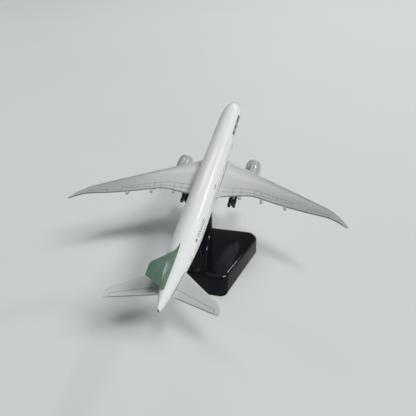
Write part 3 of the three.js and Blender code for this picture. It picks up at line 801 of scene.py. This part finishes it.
# Flaps and their tabs; their ends and the ailerons'; the aileron's hinge; the slats and their ends.
FLAP_HINGE = ((10.4, 0.765), (17, 0.77), (22, 0.765), (28, 0.755), (35.4, 0.735), (45.6, 0.715), (55.2, 0.69))
FLAP_TABS = ((9.6, 0.875), (17.7, 0.885), (22.4, 0.885), (28, 0.895), (36, 0.885), (46, 0.85), (55.0, 0.80))
WING_LINES = (
    FLAP_HINGE, FLAP_TABS,
    *across_chord(
        (17.2, 0.77, 0.985), (22.2, 0.765, 0.985), (31.2, 0.748, 0.985), (35.4, 0.735, 0.885),
        (45.6, 0.715, 0.85), (55.2, 0.69, 0.985), (64.0, 0.76, 0.985),
    ),
    ((64.0, 0.76), (76.6, 0.73)),
    *across_chord((76.6, 0.73, 0.985)),
    ((10.5, 0.13), (30, 0.105), (55, 0.12), (79, 0.16)),
    *across_chord((26.5, 0.02, 0.11), (41.0, 0.02, 0.11), (59.0, 0.02, 0.13)),
)
UNDER_LINES = (
    ((12.0, 0.775), (28, 0.755), (55.2, 0.69)),
    ((64.0, 0.76), (77.6, 0.73)),
    *across_chord((55.2, 0.69, 0.985), (64.0, 0.76, 0.985), (77.6, 0.73, 0.985)),
    ((12.0, 0.13), (55, 0.12), (79, 0.16)),
)
ELEVATOR_LINES = (((3.4, 0.735), (12, 0.71), (27.0, 0.66)), ((27.0, 0.66), (27.0, 0.97)))


def flap_track(x, tail, length, z):
    """A blunt boat under the trailing edge, fullest ahead of its middle."""
    rings = []
    for t in np.linspace(0, 1, 26):
        grow = (1 - (1 - min(t / 0.4, 1)) ** 2.2) ** 0.6
        shrink = 1 - 0.25 * max(0, (t - 0.4) / 0.6) ** 1.6
        radius = max(0.04, 1.2 * grow * shrink)
        y = length - tail - length * t
        rings.append([(x + radius * across, y, z + radius * up) for across, up in squared(28, 0.75, 0.75)])
    return loft(rings)


for name, side in SIDES.items():
    wing = Plane(WING_STATIONS, side, 0.2)
    add_piece("wing_skin_" + name, wing.solid(110, 44), WING_GREY, ("wing_" + name,), sharp=40)
    add_piece("wing_lines_" + name, wing.drawn(1, WING_LINES, 0.2), INK_GREY)
    add_piece("wing_under_lines_" + name, wing.drawn(-1, UNDER_LINES, 0.1), INK_GREY)
    for number, (x, *shape) in enumerate(FLAP_TRACKS, 1):
        track = flap_track(side * x, *shape)
        add_piece("flap_track_%s_%d" % (name, number), track, GREY, sharp=50)
    stabiliser = Plane(STABILISER_STATIONS, side, 0.16)
    skin = stabiliser.solid(60, 36)
    add_piece("stabiliser_skin_" + name, skin, STABILISER_SHEEN_GREY, ("stabiliser_" + name,), sharp=40)
    # Painted shade on the trailing edges and at the roots.
    add_piece("wing_edge_shade_" + name, wing.edges(9.0, 0.3), PAINTED_EDGE_SHADE)
    add_piece("stabiliser_edge_shade_" + name, stabiliser.edges(4.2, 0.2), PAINTED_EDGE_SHADE)
    for up, face in ((1, "upper"), (-1, "lower")):
        lines = stabiliser.drawn(up, ELEVATOR_LINES, 0.16)
        add_piece("elevator_lines_%s_%s" % (face, name), lines, INK_GREY)

# Fin: its stations climb along Z, and a thin fillet runs forward along the crown.
FIN_FOOT, FIN_TOP = 7.6, 34.1
FIN_LEAD = curve_through(
    (7.6, 8.3, 9.0, 9.9, 11.9, 14.9, 19, 23, 28, 32.4, 33.6, 34.2),
    (155.5, 157.6, 160.2, 162.5, 165.6, 169.0, 173.8, 178.3, 183.9, 188.8, 190.2, 191.2),
)
FIN_TRAIL = curve_through((4.6, 11.9, 23, 33.3, 34.2), (186, 189, 193.5, 197.7, 198.1))
FIN_HALF = curve_through((4.6, 11.9, 23, 33.3, 34.2), (0.95, 0.95, 0.7, 0.45, 0.3))
# A plain swoosh of three pale strokes: the widest place of each and its (height, chord fraction) points.
SWOOSHES = (
    (1.9, ((19.4, 0.25), (18.0, 0.38), (17.4, 0.54), (16.6, 0.70), (13.6, 0.88))),
    (0.7, ((18.2, 0.24), (16.4, 0.38), (15.4, 0.52), (14.4, 0.66), (12.6, 0.78))),
    (0.4, ((16.6, 0.26), (15.0, 0.38), (14.0, 0.50), (13.2, 0.60))),
)
RUDDER_HINGE = ((10.2, 0.74), (18, 0.72), (26, 0.69), (32.5, 0.66))


def fin(z, u, side):
    """A point on the fin, which thins towards the fuselage, with a slightly blunt trailing edge."""
    lead = FIN_LEAD(z)
    chord = FIN_TRAIL(z) - lead
    thick = airfoil(u) * FIN_HALF(z) * (0.5 + 0.5 * min(1, (z - 7) / 6)) + 0.1 * u * u
    return np.array([side * thick, -(lead + chord * u), z])


def fin_root(u, side):
    """Where a line up the fin leaves the crown, seated just under the skin."""
    def inside(z):
        x, y, _ = fin(max(z, FIN_FOOT), u, side)
        return z < body_crown(-y, x)

    return max(last_inside(inside, 4.7, 12.0) - SEAT, FIN_FOOT)


def fin_line(points, width, side):
    return stripe(lambda z, u: fin(z, u, side), smooth_profile(points, 8), width, lambda point: (side, 0, 0))


def fin_solid():
    around = around_section(56)
    roots = [fin_root(u, side) for u, side in around]
    rings = []
    for t in np.linspace(0, 1, 80) ** 1.15:
        rings.append([fin(r + (FIN_TOP - r) * t, u, side) for r, (u, side) in zip(roots, around)])
    top = np.array(rings[-1])
    centre = top.mean(0)
    rings.append(centre + (top - centre) * (0.45, 0.985, 1) + (0, 0, 0.1))
    return loft(rings)


add_piece("fin_skin", fin_solid(), GREEN, ("tail_fin",), sharp=40)
for name, side in SIDES.items():
    strokes = [
        fin_line(points, lambda t, most=most: 0.08 + most * sin(pi * t) ** 1.3, side)
        for most, points in SWOOSHES
    ]
    add_piece("fin_swoosh_" + name, join(*strokes), INK_PALE)
    add_piece("rudder_line_" + name, fin_line(RUDDER_HINGE, 0.12, side), INK_DARK_GREEN)

# ---------------- belly fairing
# Its stations: half width, bottom and top.
FAIRING_STATIONS = np.array((
    (58, 2.5, -8.7, -7.6), (63, 4.8, -9.3, -5.8), (70, 6.6, -9.8, -4.9), (80, 7.7, -10.0, -4.7),
    (98, 7.8, -10.0, -4.6), (108, 6.2, -9.8, -5.0), (115, 4.2, -9.4, -6.0), (121, 1.8, -8.8, -7.6),
))
SCREW_STATIONS = (76.0, 111.6)
PEG_STATION, PEG_LENGTH, PEG_THICKNESS, PEG_TOP = 103.1, 4.2, 3.4, -4.4
PEG_GAP = 0.3
BELOW = -13


def peg_box(low, high, aside=0, ahead=0):
    """A box round the peg between two heights, with margins to its sides and ahead of and behind it."""
    half, reach = PEG_THICKNESS / 2 + aside, PEG_LENGTH / 2 + ahead
    return block((-half, -PEG_STATION - reach, low), (half, -PEG_STATION + reach, high))


def screw_bore(station, radius, top, sides=32):
    return lathe([(0, BELOW), (radius, BELOW), (radius, top), (0, top)], sides, (0, -station, 0), "z")


fairing_lines = [curve_through(FAIRING_STATIONS[:, 0], FAIRING_STATIONS[:, k]) for k in (1, 2, 3)]
fairing_rings = []
for s in np.linspace(58, 121, 90):
    half, bottom, top = (line(s) for line in fairing_lines)
    fairing_rings.append([(half * across, -s, level(bottom, top, up)) for across, up in squared(96, 0.7, 0.7)])
fairing = add_piece("belly_fairing_skin", loft(fairing_rings), GREY, ("belly_fairing",))
weld(fairing, peg_box(-9.4, -2.4, 1.5, 2.4))
carve(fairing, peg_box(-12, PEG_TOP + PEG_GAP, PEG_GAP, PEG_GAP))
for s in SCREW_STATIONS:
    carve(fairing, screw_bore(s, 1.55, -9.05, 48))
    carve(fairing, screw_bore(s, 1.0, -5))
    carve(fuselage, screw_bore(s, 0.78, -4.2))

# ---------------- engines
# Profiles are (radius, distance behind the part's front) points.
ENGINE = {"x": 24.8, "z": -9.5, "lip": 65.5}
FAN_BACK, CORE_BACK = 2.5, 10.7
BLADES, BLADE_ROOT, BLADE_LENGTH = 20, 1.2, 2.74
BLADE_SECTION = ((-1, -0.3), (-0.4, -1), (0.6, -0.8), (1, 0), (0.6, 0.8), (-0.4, 1), (-1, 0.3))
BLADE_HALF_THICKNESS = 0.055
PYLON_FRONT, PYLON_BACK = 69.5, 96.5
PYLON_TOP = curve_through((PYLON_FRONT, 70.2, 74, 79, 90, PYLON_BACK), (-5.0, -4.1, -3.0, -2.15, -2.5, -3.2))
PYLON_LOW = curve_through(
    (PYLON_FRONT, 77, 79, 82.5, 88, 93, PYLON_BACK), (-5.3, -5.4, -6.2, -6.9, -6.2, -5.0, -3.9)
)
COWL_OUTSIDE = (
    (4.93, 0.5), (5.1, 1.2), (5.25, 2.4), (5.34, 4.6), (5.29, 7.2), (5.1, 9.6), (4.85, 12.2), (4.62, 14.3),
)
COWL_PROFILE = (
    [(0, 6.5), (4.1, 6.5)]
    + smooth_profile([(4.1, 5.5), (4.05, 3.6), (4.02, 1.6), (4.16, 0.8)], 4)
    + smooth_profile(COWL_OUTSIDE, 5)
    + [(4.57, 14.56), (4.46, 14.6), (4.28, 14.5), (4.25, 14.0), (4.25, 10.4), (0, 10.4)]
)
LIP_OUTSIDE = ((4.16, 0.74), (4.26, 0.3), (4.42, 0.06), (4.56, 0.0), (4.75, 0.12), (4.93, 0.48), (5.05, 0.95))
LIP_PROFILE = (
    [(4.15, 0.78)] + smooth_profile(LIP_OUTSIDE, 5) + [(4.98, 0.97), (4.85, 0.6), (4.5, 0.4), (4.15, 0.78)]
)
SPINNER_PROFILE = (
    smooth_profile([(0, 0), (0.42, 0.34), (0.82, 1.0), (1.12, 1.9), (1.28, 2.6)], 6) + [(1.28, 3.3), (0, 3.3)]
)
FAN_DISC_PROFILE = [(0, 3.15), (3.98, 3.15), (3.98, 3.9), (0, 3.9)]
CORE_PROFILE = (
    [(0, 0), (3.2, 0)]
    + smooth_profile([(3.2, 0.3), (3.14, 2.0), (2.9, 3.9), (2.6, 5.4), (2.28, 6.8)], 5)
    + [(2.2, 6.95), (2.05, 6.95), (1.95, 6.6), (1.3, 6.6)]
    + smooth_profile([(1.28, 7.2), (1.05, 8.1), (0.7, 9.1), (0.28, 9.95)], 5)
    + [(0.1, 10.08), (0, 10.1)]
)
# The intake ring's seam and the thrust reverser's: radius and distance behind the lip.
SEAMS = ((5.262, 2.55), (5.20, 8.6))


def in_engine(solid, side, back):
    """Puts a solid that was drawn backwards from its own front behind the engine's lip."""
    verts, faces = solid
    return verts * (1.0, -1.0, 1.0) + (side * ENGINE["x"], -ENGINE["lip"] - back, ENGINE["z"]), faces


def turned(profile, side, back, sides=96):
    return in_engine(lathe(profile, sides), side, back)


def pylon(side):
    """A slab with rounded edges that runs up into the wing."""
    rings = []
    for s in np.linspace(PYLON_FRONT, PYLON_BACK, 60):
        top = PYLON_TOP(s)
        low = PYLON_LOW(s) - (1.2 if s < 79 else 0.5 * max(0, 1 - (s - 79) / 3))
        nose = min(1, 0.25 + (s - PYLON_FRONT) / 4) * min(1, 0.12 + (PYLON_BACK - s) / 8)
        rings.append([
            (side * (ENGINE["x"] + 0.65 * nose * across), -s, level(low, top, up))
            for across, up in squared(40, 0.45, 0.6)
        ])
    return loft(rings)


def seam(radius, back):
    inner = radius - 0.1
    front, rear = back - 0.05, back + 0.05
    return [(inner, front), (radius + 0.02, front), (radius + 0.01, rear), (inner, rear), (inner, front)]


def fan_blade(turn):
    """A twisted blade, wider towards its tip."""
    rings = []
    for r in np.linspace(BLADE_ROOT, BLADE_ROOT + BLADE_LENGTH, 8):
        out = (r - BLADE_ROOT) / BLADE_LENGTH
        twist, wide = 0.45 + 0.55 * out, 0.42 + 0.14 * out
        ring = []
        for a, b in BLADE_SECTION:
            along, thick = a * wide, b * BLADE_HALF_THICKNESS
            across = along * sin(twist) - thick * cos(twist)
            deep = along * cos(twist) + thick * sin(twist)
            angle = turn + across / r
            ring.append((r * cos(angle), 2.75 + deep, r * sin(angle)))
        rings.append(ring)
    return loft(rings)


for name, side in SIDES.items():
    cowl = turned(COWL_PROFILE, side, 0, 128)
    cowl = add_piece("cowl_skin_" + name, cowl, COWL, ("engine_cowl_" + name,), sharp=42)
    weld(cowl, pylon(side))
    add_piece("intake_lip_" + name, turned(LIP_PROFILE, side, -0.02, 128), SILVER)
    for number, place in enumerate(SEAMS, 1):
        ring = turned(seam(*place), side, 0, 128)
        add_piece("cowl_seam_%s_%d" % (name, number), ring, INK_GREY)
    spinner = turned(SPINNER_PROFILE, side, FAN_BACK)
    add_piece("spinner_" + name, spinner, DULL, ("engine_fan_" + name,))
    # A dark disc behind the blades: painted shade inside the intake.
    add_piece("intake_shade_disc_" + name, turned(FAN_DISC_PROFILE, side, FAN_BACK), DARK)
    blades = join(*(fan_blade(turn) for turn in full_turn(BLADES)))
    add_piece("fan_blades_" + name, in_engine(blades, side, FAN_BACK), STEEL, sharp=50)
    core = turned(CORE_PROFILE, side, CORE_BACK)
    add_piece("core_skin_" + name, core, DULL, ("engine_core_" + name,))

# ---------------- landing gear
# Each place is the axle's; "wheel" is how far a wheel's middle is from the leg's.
MAIN_GEAR = {"x": 16.1, "station": 100.0, "z": -12.8, "spacing": 3.95, "wheel": 1.62}
NOSE_GEAR = {"station": 15.9, "z": -13.15, "wheel": 1.1}
MAIN_WHEEL = {"radius": 1.8, "width": 1.6, "axle": 0.45}
NOSE_WHEEL = {"radius": 1.45, "width": 0.95, "axle": 0.4}
AXLE_BORE_GAP = 0.085
LEG_RADIUS = 0.62


def axle_bore(x, y, z, axle):
    return tube((x - 2, y, z), (x + 2, y, z), axle + AXLE_BORE_GAP, 48)


def bogie_beam(x, y, z):
    """A beam with rounded ends, thicker at each axle."""
    rings = []
    for along in np.linspace(-4.74, 4.74, 25):
        end = sqrt(max(0.0, 1 - max(0.0, abs(along) - 4.0) ** 2 / 0.75 ** 2))
        boss = 0.2 * cos(abs(along) * pi / MAIN_GEAR["spacing"]) ** 2
        high = (0.55 + boss) * (0.2 + 0.8 * end)
        wide = 0.55 * (0.55 + 0.45 * end)
        rings.append([(x + wide * across, y + along, z + high * up) for across, up in squared(32, 0.6, 0.6)])
    return loft(rings)


def make_leg(name, node_name, post, welded, bores):
    leg = add_piece(name, post, GEAR, (node_name,))
    for solid in welded:
        weld(leg, solid)
    for bore in bores:
        carve(leg, bore)
    smooth(leg.data, 35)


def make_main_gear(name, side):
    """A leg with its bogie beam, collars, drag brace and door link, bored for three axles, and the door."""
    x, y, z = side * MAIN_GEAR["x"], -MAIN_GEAR["station"], MAIN_GEAR["z"]
    door_x = x + side * 1.5
    collars = ((-12.0, -11.2, 0.78), (-9.6, -4.6, 0.76), (-8.7, -8.3, 0.9))
    welded = [bogie_beam(x, y, z)]
    welded += [tube((x, y, low), (x, y, high), radius, 40) for low, high, radius in collars]
    welded.append(tube((x, 2.4 + y, z + 0.2), (x, 0.3 + y, z + 4.3), 0.32, 24))
    welded.append(block((min(x, door_x), y - 0.3, -7.3), (max(x, door_x), y + 0.3, -6.5)))
    bores = [axle_bore(x, row * MAIN_GEAR["spacing"] + y, z, MAIN_WHEEL["axle"]) for row in (-1, 0, 1)]
    post = tube((x, y, z), (x, y, -4.5), LEG_RADIUS, 40)
    make_leg("main_leg_" + name, "main_gear_leg_" + name, post, welded, bores)
    door = block((door_x - 0.22, y - 2.4, -9.6), (door_x + 0.22, y + 2.6, -4.6))
    bevelled(add_piece("gear_door_" + name, door, GREY), 0.18)


def make_nose_leg():
    """A leg with its collars, a fork head round the axle and a drag brace."""
    y, z = -NOSE_GEAR["station"], NOSE_GEAR["z"]
    head_half = 0.42
    welded = (
        tube((0, y, -9.6), (0, y, -7.2), 0.78, 40),
        tube((0, y, -10.6), (0, y, -10.2), 0.74, 40),
        tube((-head_half, y, z), (head_half, y, z), 0.86, 48),
        block((-head_half, y - 0.55, z), (head_half, y + 0.55, z + 2.4)),
        tube((0, y + 1.9, z + 2.6), (0, y + 0.2, z + 4.6), 0.25, 24),
    )
    post = tube((0, y, z + 1.9), (0, y, -7.6), LEG_RADIUS, 40)
    make_leg("nose_leg", "nose_gear_leg", post, welded, [axle_bore(0, y, z, NOSE_WHEEL["axle"])])


def tyre_profile(radius, width, hub_edge):
    """A ring with round shoulders and three grooves."""
    half = width / 2
    flank = ((hub_edge + 0.04, 0.92), (radius * 0.8, 1), (radius * 0.95, 0.78), (radius, 0.5))
    tyre = [(hub_edge, -half * 0.72)] + smooth_profile([(r, -half * share) for r, share in flank], 4)
    for groove in (-0.25, 0.0, 0.25):
        middle, floor_radius = groove * width, radius - 0.06
        tyre += [
            (radius, middle - 0.05), (floor_radius, middle - 0.035),
            (floor_radius, middle + 0.035), (radius, middle + 0.05),
        ]
    tyre += smooth_profile([(r, half * share) for r, share in flank[::-1]], 4)
    return tyre + [(hub_edge, half * 0.72), (hub_edge, -half * 0.72)]


def hub_profile(hole, width, hub_edge):
    """A dished ring, from its bore out to its rim on one face and back on the other."""
    half = width / 2
    rim = hub_edge + 0.02
    face = [
        (hole, -half * 0.7), (hub_edge * 0.55, -half * 0.66), (hub_edge * 0.62, -half * 0.4),
        (hub_edge * 0.86, -half * 0.45), (hub_edge * 0.92, -half * 0.84), (rim, -half * 0.84),
    ]
    return face + [(r, -along) for r, along in face[::-1]] + face[:1]


def make_wheel(name, wheelset, centre, radius, width, axle):
    """A grooved tyre round a dished metal hub with its ring of bolts."""
    hub_edge = radius * 0.58
    tyre = lathe(tyre_profile(radius, width, hub_edge), 72, centre, "x")
    add_piece("tyre_" + name, tyre, RUBBER, (name,), wheelset, sharp=50)
    solids = [lathe(hub_profile(axle + 0.01, width, hub_edge), 48, centre, "x")]
    circle, reach = hub_edge * 0.745, (width / 2 * 0.52, 0, 0)
    for turn in full_turn(8):
        at = np.array(centre) + (0, circle * cos(turn), circle * sin(turn))
        solids.append(tube(at - reach, at + reach, 0.05, 10))
    add_piece("hub_" + name, join(*solids), SILVER, body=wheelset)


for name, side in SIDES.items():
    make_main_gear(name, side)
make_nose_leg()
for name, side in SIDES.items():
    for index, row in enumerate(("front", "middle", "rear")):
        axle_y = (1 - index) * MAIN_GEAR["spacing"] - MAIN_GEAR["station"]
        set_name = "main_%s_%s" % (name, row)
        for place, sign in (("inner", -side), ("outer", side)):
            centre = (side * MAIN_GEAR["x"] + sign * MAIN_GEAR["wheel"], axle_y, MAIN_GEAR["z"])
            make_wheel("%s_wheel_%s" % (set_name, place), set_name + "_wheelset", centre, **MAIN_WHEEL)
    centre = (side * NOSE_GEAR["wheel"], -NOSE_GEAR["station"], NOSE_GEAR["z"])
    make_wheel("nose_wheel_" + name, "nose_wheelset", centre, **NOSE_WHEEL)

# ---------------- stand
# Millimetres from the middle of the base's foot, with Z up from the table.
BASE = {
    "height": 14.0, "front": 28.6, "back": -22.8, "foot": 5.8, "front_half": 30.4, "back_half": 18.2,
    "front_corner": 8.0, "back_corner": 5.0, "edge": 2.0, "wall": 2.2,
}
SCREWS = ((0, 14), (-11.5, -12), (11.5, -12))
STEM_FOOT_Y = -20.2
STEM_HALF_WIDTH, STEM_EDGE_RADIUS = 2.5, 1.5
STEM_TOP = 44.3
BELLY_PLANE = -10.22
# The stem's back and front edges: distance ahead of its foot against height above the base.
STEM_BACK = curve_through(
    (0.0, 6.0, 13.1, 17.7, 22.8, 31.8, STEM_TOP), (-0.4, 2.9, 7.3, 15.2, 18.9, 19.9, 20.1)
)
STEM_FRONT = curve_through((0.0, 7.8, 16, 24.5, 32.8, STEM_TOP), (19.7, 21.7, 22.9, 23.7, 24.3, 24.9))


def base_ring(inset, z):
    """The base's outline at a height: straight sides joined by four rounded corners."""
    back = BASE["back"] - BASE["foot"] * (1 - z / BASE["height"])
    front_end = BASE["front_half"], BASE["front"], BASE["front_corner"]
    back_end = BASE["back_half"], back, BASE["back_corner"]
    ring = []
    for (half, y, radius), side, start in (
        (front_end, 1, 0), (front_end, -1, 90), (back_end, -1, 180), (back_end, 1, 270),
    ):
        x = side * half
        reach = max(radius - inset, 0.6)
        cx = x - copysign(inset + reach, x)
        cy = y - (inset + reach) * (1 if start < 180 else -1)
        ring += [(*point, z) for point in corner(cx, cy, reach, start, 17)]
    return ring


def make_base():
    """A hollow shell with a socket for the stem's tenon and three screw bosses."""
    height, edge, wall = BASE["height"], BASE["edge"], BASE["wall"]
    rings = [base_ring(0.35, 0.5), base_ring(0.1, 0.6), base_ring(0, 0.9)]
    rings += [base_ring(0, z) for z in np.linspace(1.6, height - edge, 12)]
    for turn in np.radians(np.linspace(9, 90, 10)):
        rings.append(base_ring(edge * (1 - cos(turn)), height - edge + edge * sin(turn)))
    base = add_piece(
        "stand_shell", loft(rings), BASE_BLACK, ("base_shell",), "stand_base", WORLD, sharp=45
    )
    carve(base, loft([base_ring(wall, -1), base_ring(wall, height - wall)]), WORLD)
    triangulate(base.data)
    boss_low, boss_high = 4.9, 13
    weld(base, block((-4, STEM_FOOT_Y - 0.2, boss_low), (4, STEM_FOOT_Y + 20, boss_high)), WORLD)
    carve(base, block((-2.0, STEM_FOOT_Y + 2.1, 0), (2.0, STEM_FOOT_Y + 17.7, 15)), WORLD)
    for x, y in SCREWS:
        weld(base, tube((x, y, boss_low), (x, y, boss_high), 2.6, 40), WORLD)
        carve(base, tube((x, y, 0), (x, y, 11), 0.83, 32), WORLD)


def stem_point(edge, height):
    """A point on the stem's back or front edge, at a height above the base."""
    return np.array([0, edge(min(height, STEM_TOP)) + STEM_FOOT_Y, height + BASE["height"]])


def stem_end(edge):
    """The height above the base where an edge of the stem reaches the belly's plane."""
    belly = AIR @ (Vector((0, 0, BELLY_PLANE)) * MM) / MM
    for height in np.linspace(40, 46, 2000):
        _, y, _ = stem_point(edge, height)
        if height >= belly.z + (y - belly.y) * math.tan(PITCH) - BASE["height"]:
            return height


def stem_solid():
    """Rounded slabs between the two edges, level at the foot and square to the belly at the top."""
    back_end, front_end, foot = stem_end(STEM_BACK), stem_end(STEM_FRONT), 0.03
    rings = []
    for t in np.linspace(0, 1, 90):
        back = stem_point(STEM_BACK, foot + (back_end - foot) * t)
        front = stem_point(STEM_FRONT, foot + (front_end - foot) * t)
        length = np.linalg.norm(front - back)
        along = (front - back) / length
        radius = min(STEM_EDGE_RADIUS, length * 0.32)
        ring = []
        wide, deep = STEM_HALF_WIDTH - radius, length / 2 - radius
        for side, end, start in ((1, 1, 0), (-1, 1, 90), (-1, -1, 180), (1, -1, 270)):
            for x, y in corner(side * wide, end * deep, radius, start, 9):
                ring.append((back + front) / 2 + along * y + np.array([x, 0, 0]))
        rings.append(ring)
    return loft(rings)


def make_stem():
    """The blade, the tenon that stands in the base and the peg that the aeroplane sits on."""
    add_piece("stem_blade", stem_solid(), BLACK, ("stand_stem",), "stem", WORLD, sharp=50)
    height, half = BASE["height"], PEG_THICKNESS / 2
    tenon = block((-half, STEM_FOOT_Y + 2.4, height - 8.8), (half, STEM_FOOT_Y + 17.4, height + 0.5))
    bevelled(add_piece("stem_tenon", tenon, BLACK, body="stem", place=WORLD), 0.25)
    peg = peg_box(BELLY_PLANE - 0.5, PEG_TOP)
    bevelled(add_piece("stem_peg", peg, BLACK, body="stem"), 0.3)


make_base()
make_stem()

# Pieces whose CAD solid already has their shape keep it, with a finish.
KEPT = {"ballast_plate": DULL, "base_pad": RUBBER}
for node_name in frame["nodes"]:
    if "screw" in node_name or node_name.endswith("axle"):
        KEPT[node_name] = STEEL
for node_name, material in KEPT.items():
    made = frame["nodes"][node_name]
    made.data.materials.clear()
    made.data.materials.append(material)

# ---------------- stage, lights and world
TABLE_HALF = 6000
TABLE_TOP = new_material("table top", (0.66, 0.685, 0.69), 0.55)
vary_colour(TABLE_TOP, (3, 4), (0.35, 0.65), ((0.655, 0.68, 0.685), (0.67, 0.695, 0.70)))
table_corners = [(x * TABLE_HALF, y * TABLE_HALF, 0) for x, y in ((-1, -1), (1, -1), (1, 1), (-1, 1))]
floor = add_object("floor", new_mesh("floor", (table_corners, [(0, 1, 2, 3)])))
floor.data.materials.append(TABLE_TOP)


def area_light(name, at, long_way, target, size, watts):
    """A rectangle of light that faces a point, with its first side turned along a direction."""
    data = bpy.data.lights.new(name, "AREA")
    data.shape = "RECTANGLE"
    data.size, data.size_y = size
    data.energy = watts
    at, target = Vector(at), Vector(target)
    away = (at - target).normalized()
    side = Vector(long_way)
    side = (side - away * side.dot(away)).normalized()
    turn = Matrix((side, away.cross(side), away)).transposed()
    add_object(name, data).matrix_world = Matrix.Translation(at) @ turn.to_4x4()


def sun(name, towards, strength, degrees):
    """Even light from one direction, as soft as a window of that angular size."""
    data = bpy.data.lights.new(name, "SUN")
    data.energy = strength
    data.angle = radians(degrees)
    add_object(name, data).matrix_world = Vector(towards).to_track_quat("Z", "Y").to_matrix().to_4x4()


# Two soft windows behind the camera's right shoulder give the shadows, narrow ones beyond the nose the streaks.
sun("window_right", (0.77, -0.34, 1), 1.68, 18)
sun("window_back", (0.34, -0.47, 1), 0.92, 8)
area_light("window_strip", (0.795, 0.978, 1.122), (0.8, -0.45, 0.4), (0, 0, 0.07), (0.22, 0.07), 2.4)
area_light("window_low", (0.18, 1.62, 0.78), (1, 0, 0), (0, 0, 0.08), (1.2, 0.4), 2.2)
area_light("window_front", (-0.27, 0.99, 1.33), (1, 0, 0), (0, 0, 0.08), (0.6, 0.19), 1.2)


def make_world():
    """A plain room, pale near the horizon and dim overhead."""
    world = bpy.data.worlds.new("studio")
    world.use_nodes = True
    backdrop = world.node_tree.nodes["Background"]
    backdrop.inputs["Color"].default_value = (0.96, 0.99, 1.0, 1)
    way = node(world, "ShaderNodeTexCoord").outputs["Generated"]
    climb = node(world, "ShaderNodeSeparateXYZ", {"Vector": way}).outputs["Z"]
    strength = spread(world, climb, 0.25, 0.85, 0.25, 0.08, interpolation_type="SMOOTHSTEP")
    world.node_tree.links.new(strength, backdrop.inputs["Strength"])
    bpy.context.scene.world = world


make_world()
view = bpy.context.scene.view_settings
view.view_transform = "Standard"
view.look = "None"
view.exposure = 0.0
view.gamma = 1.0
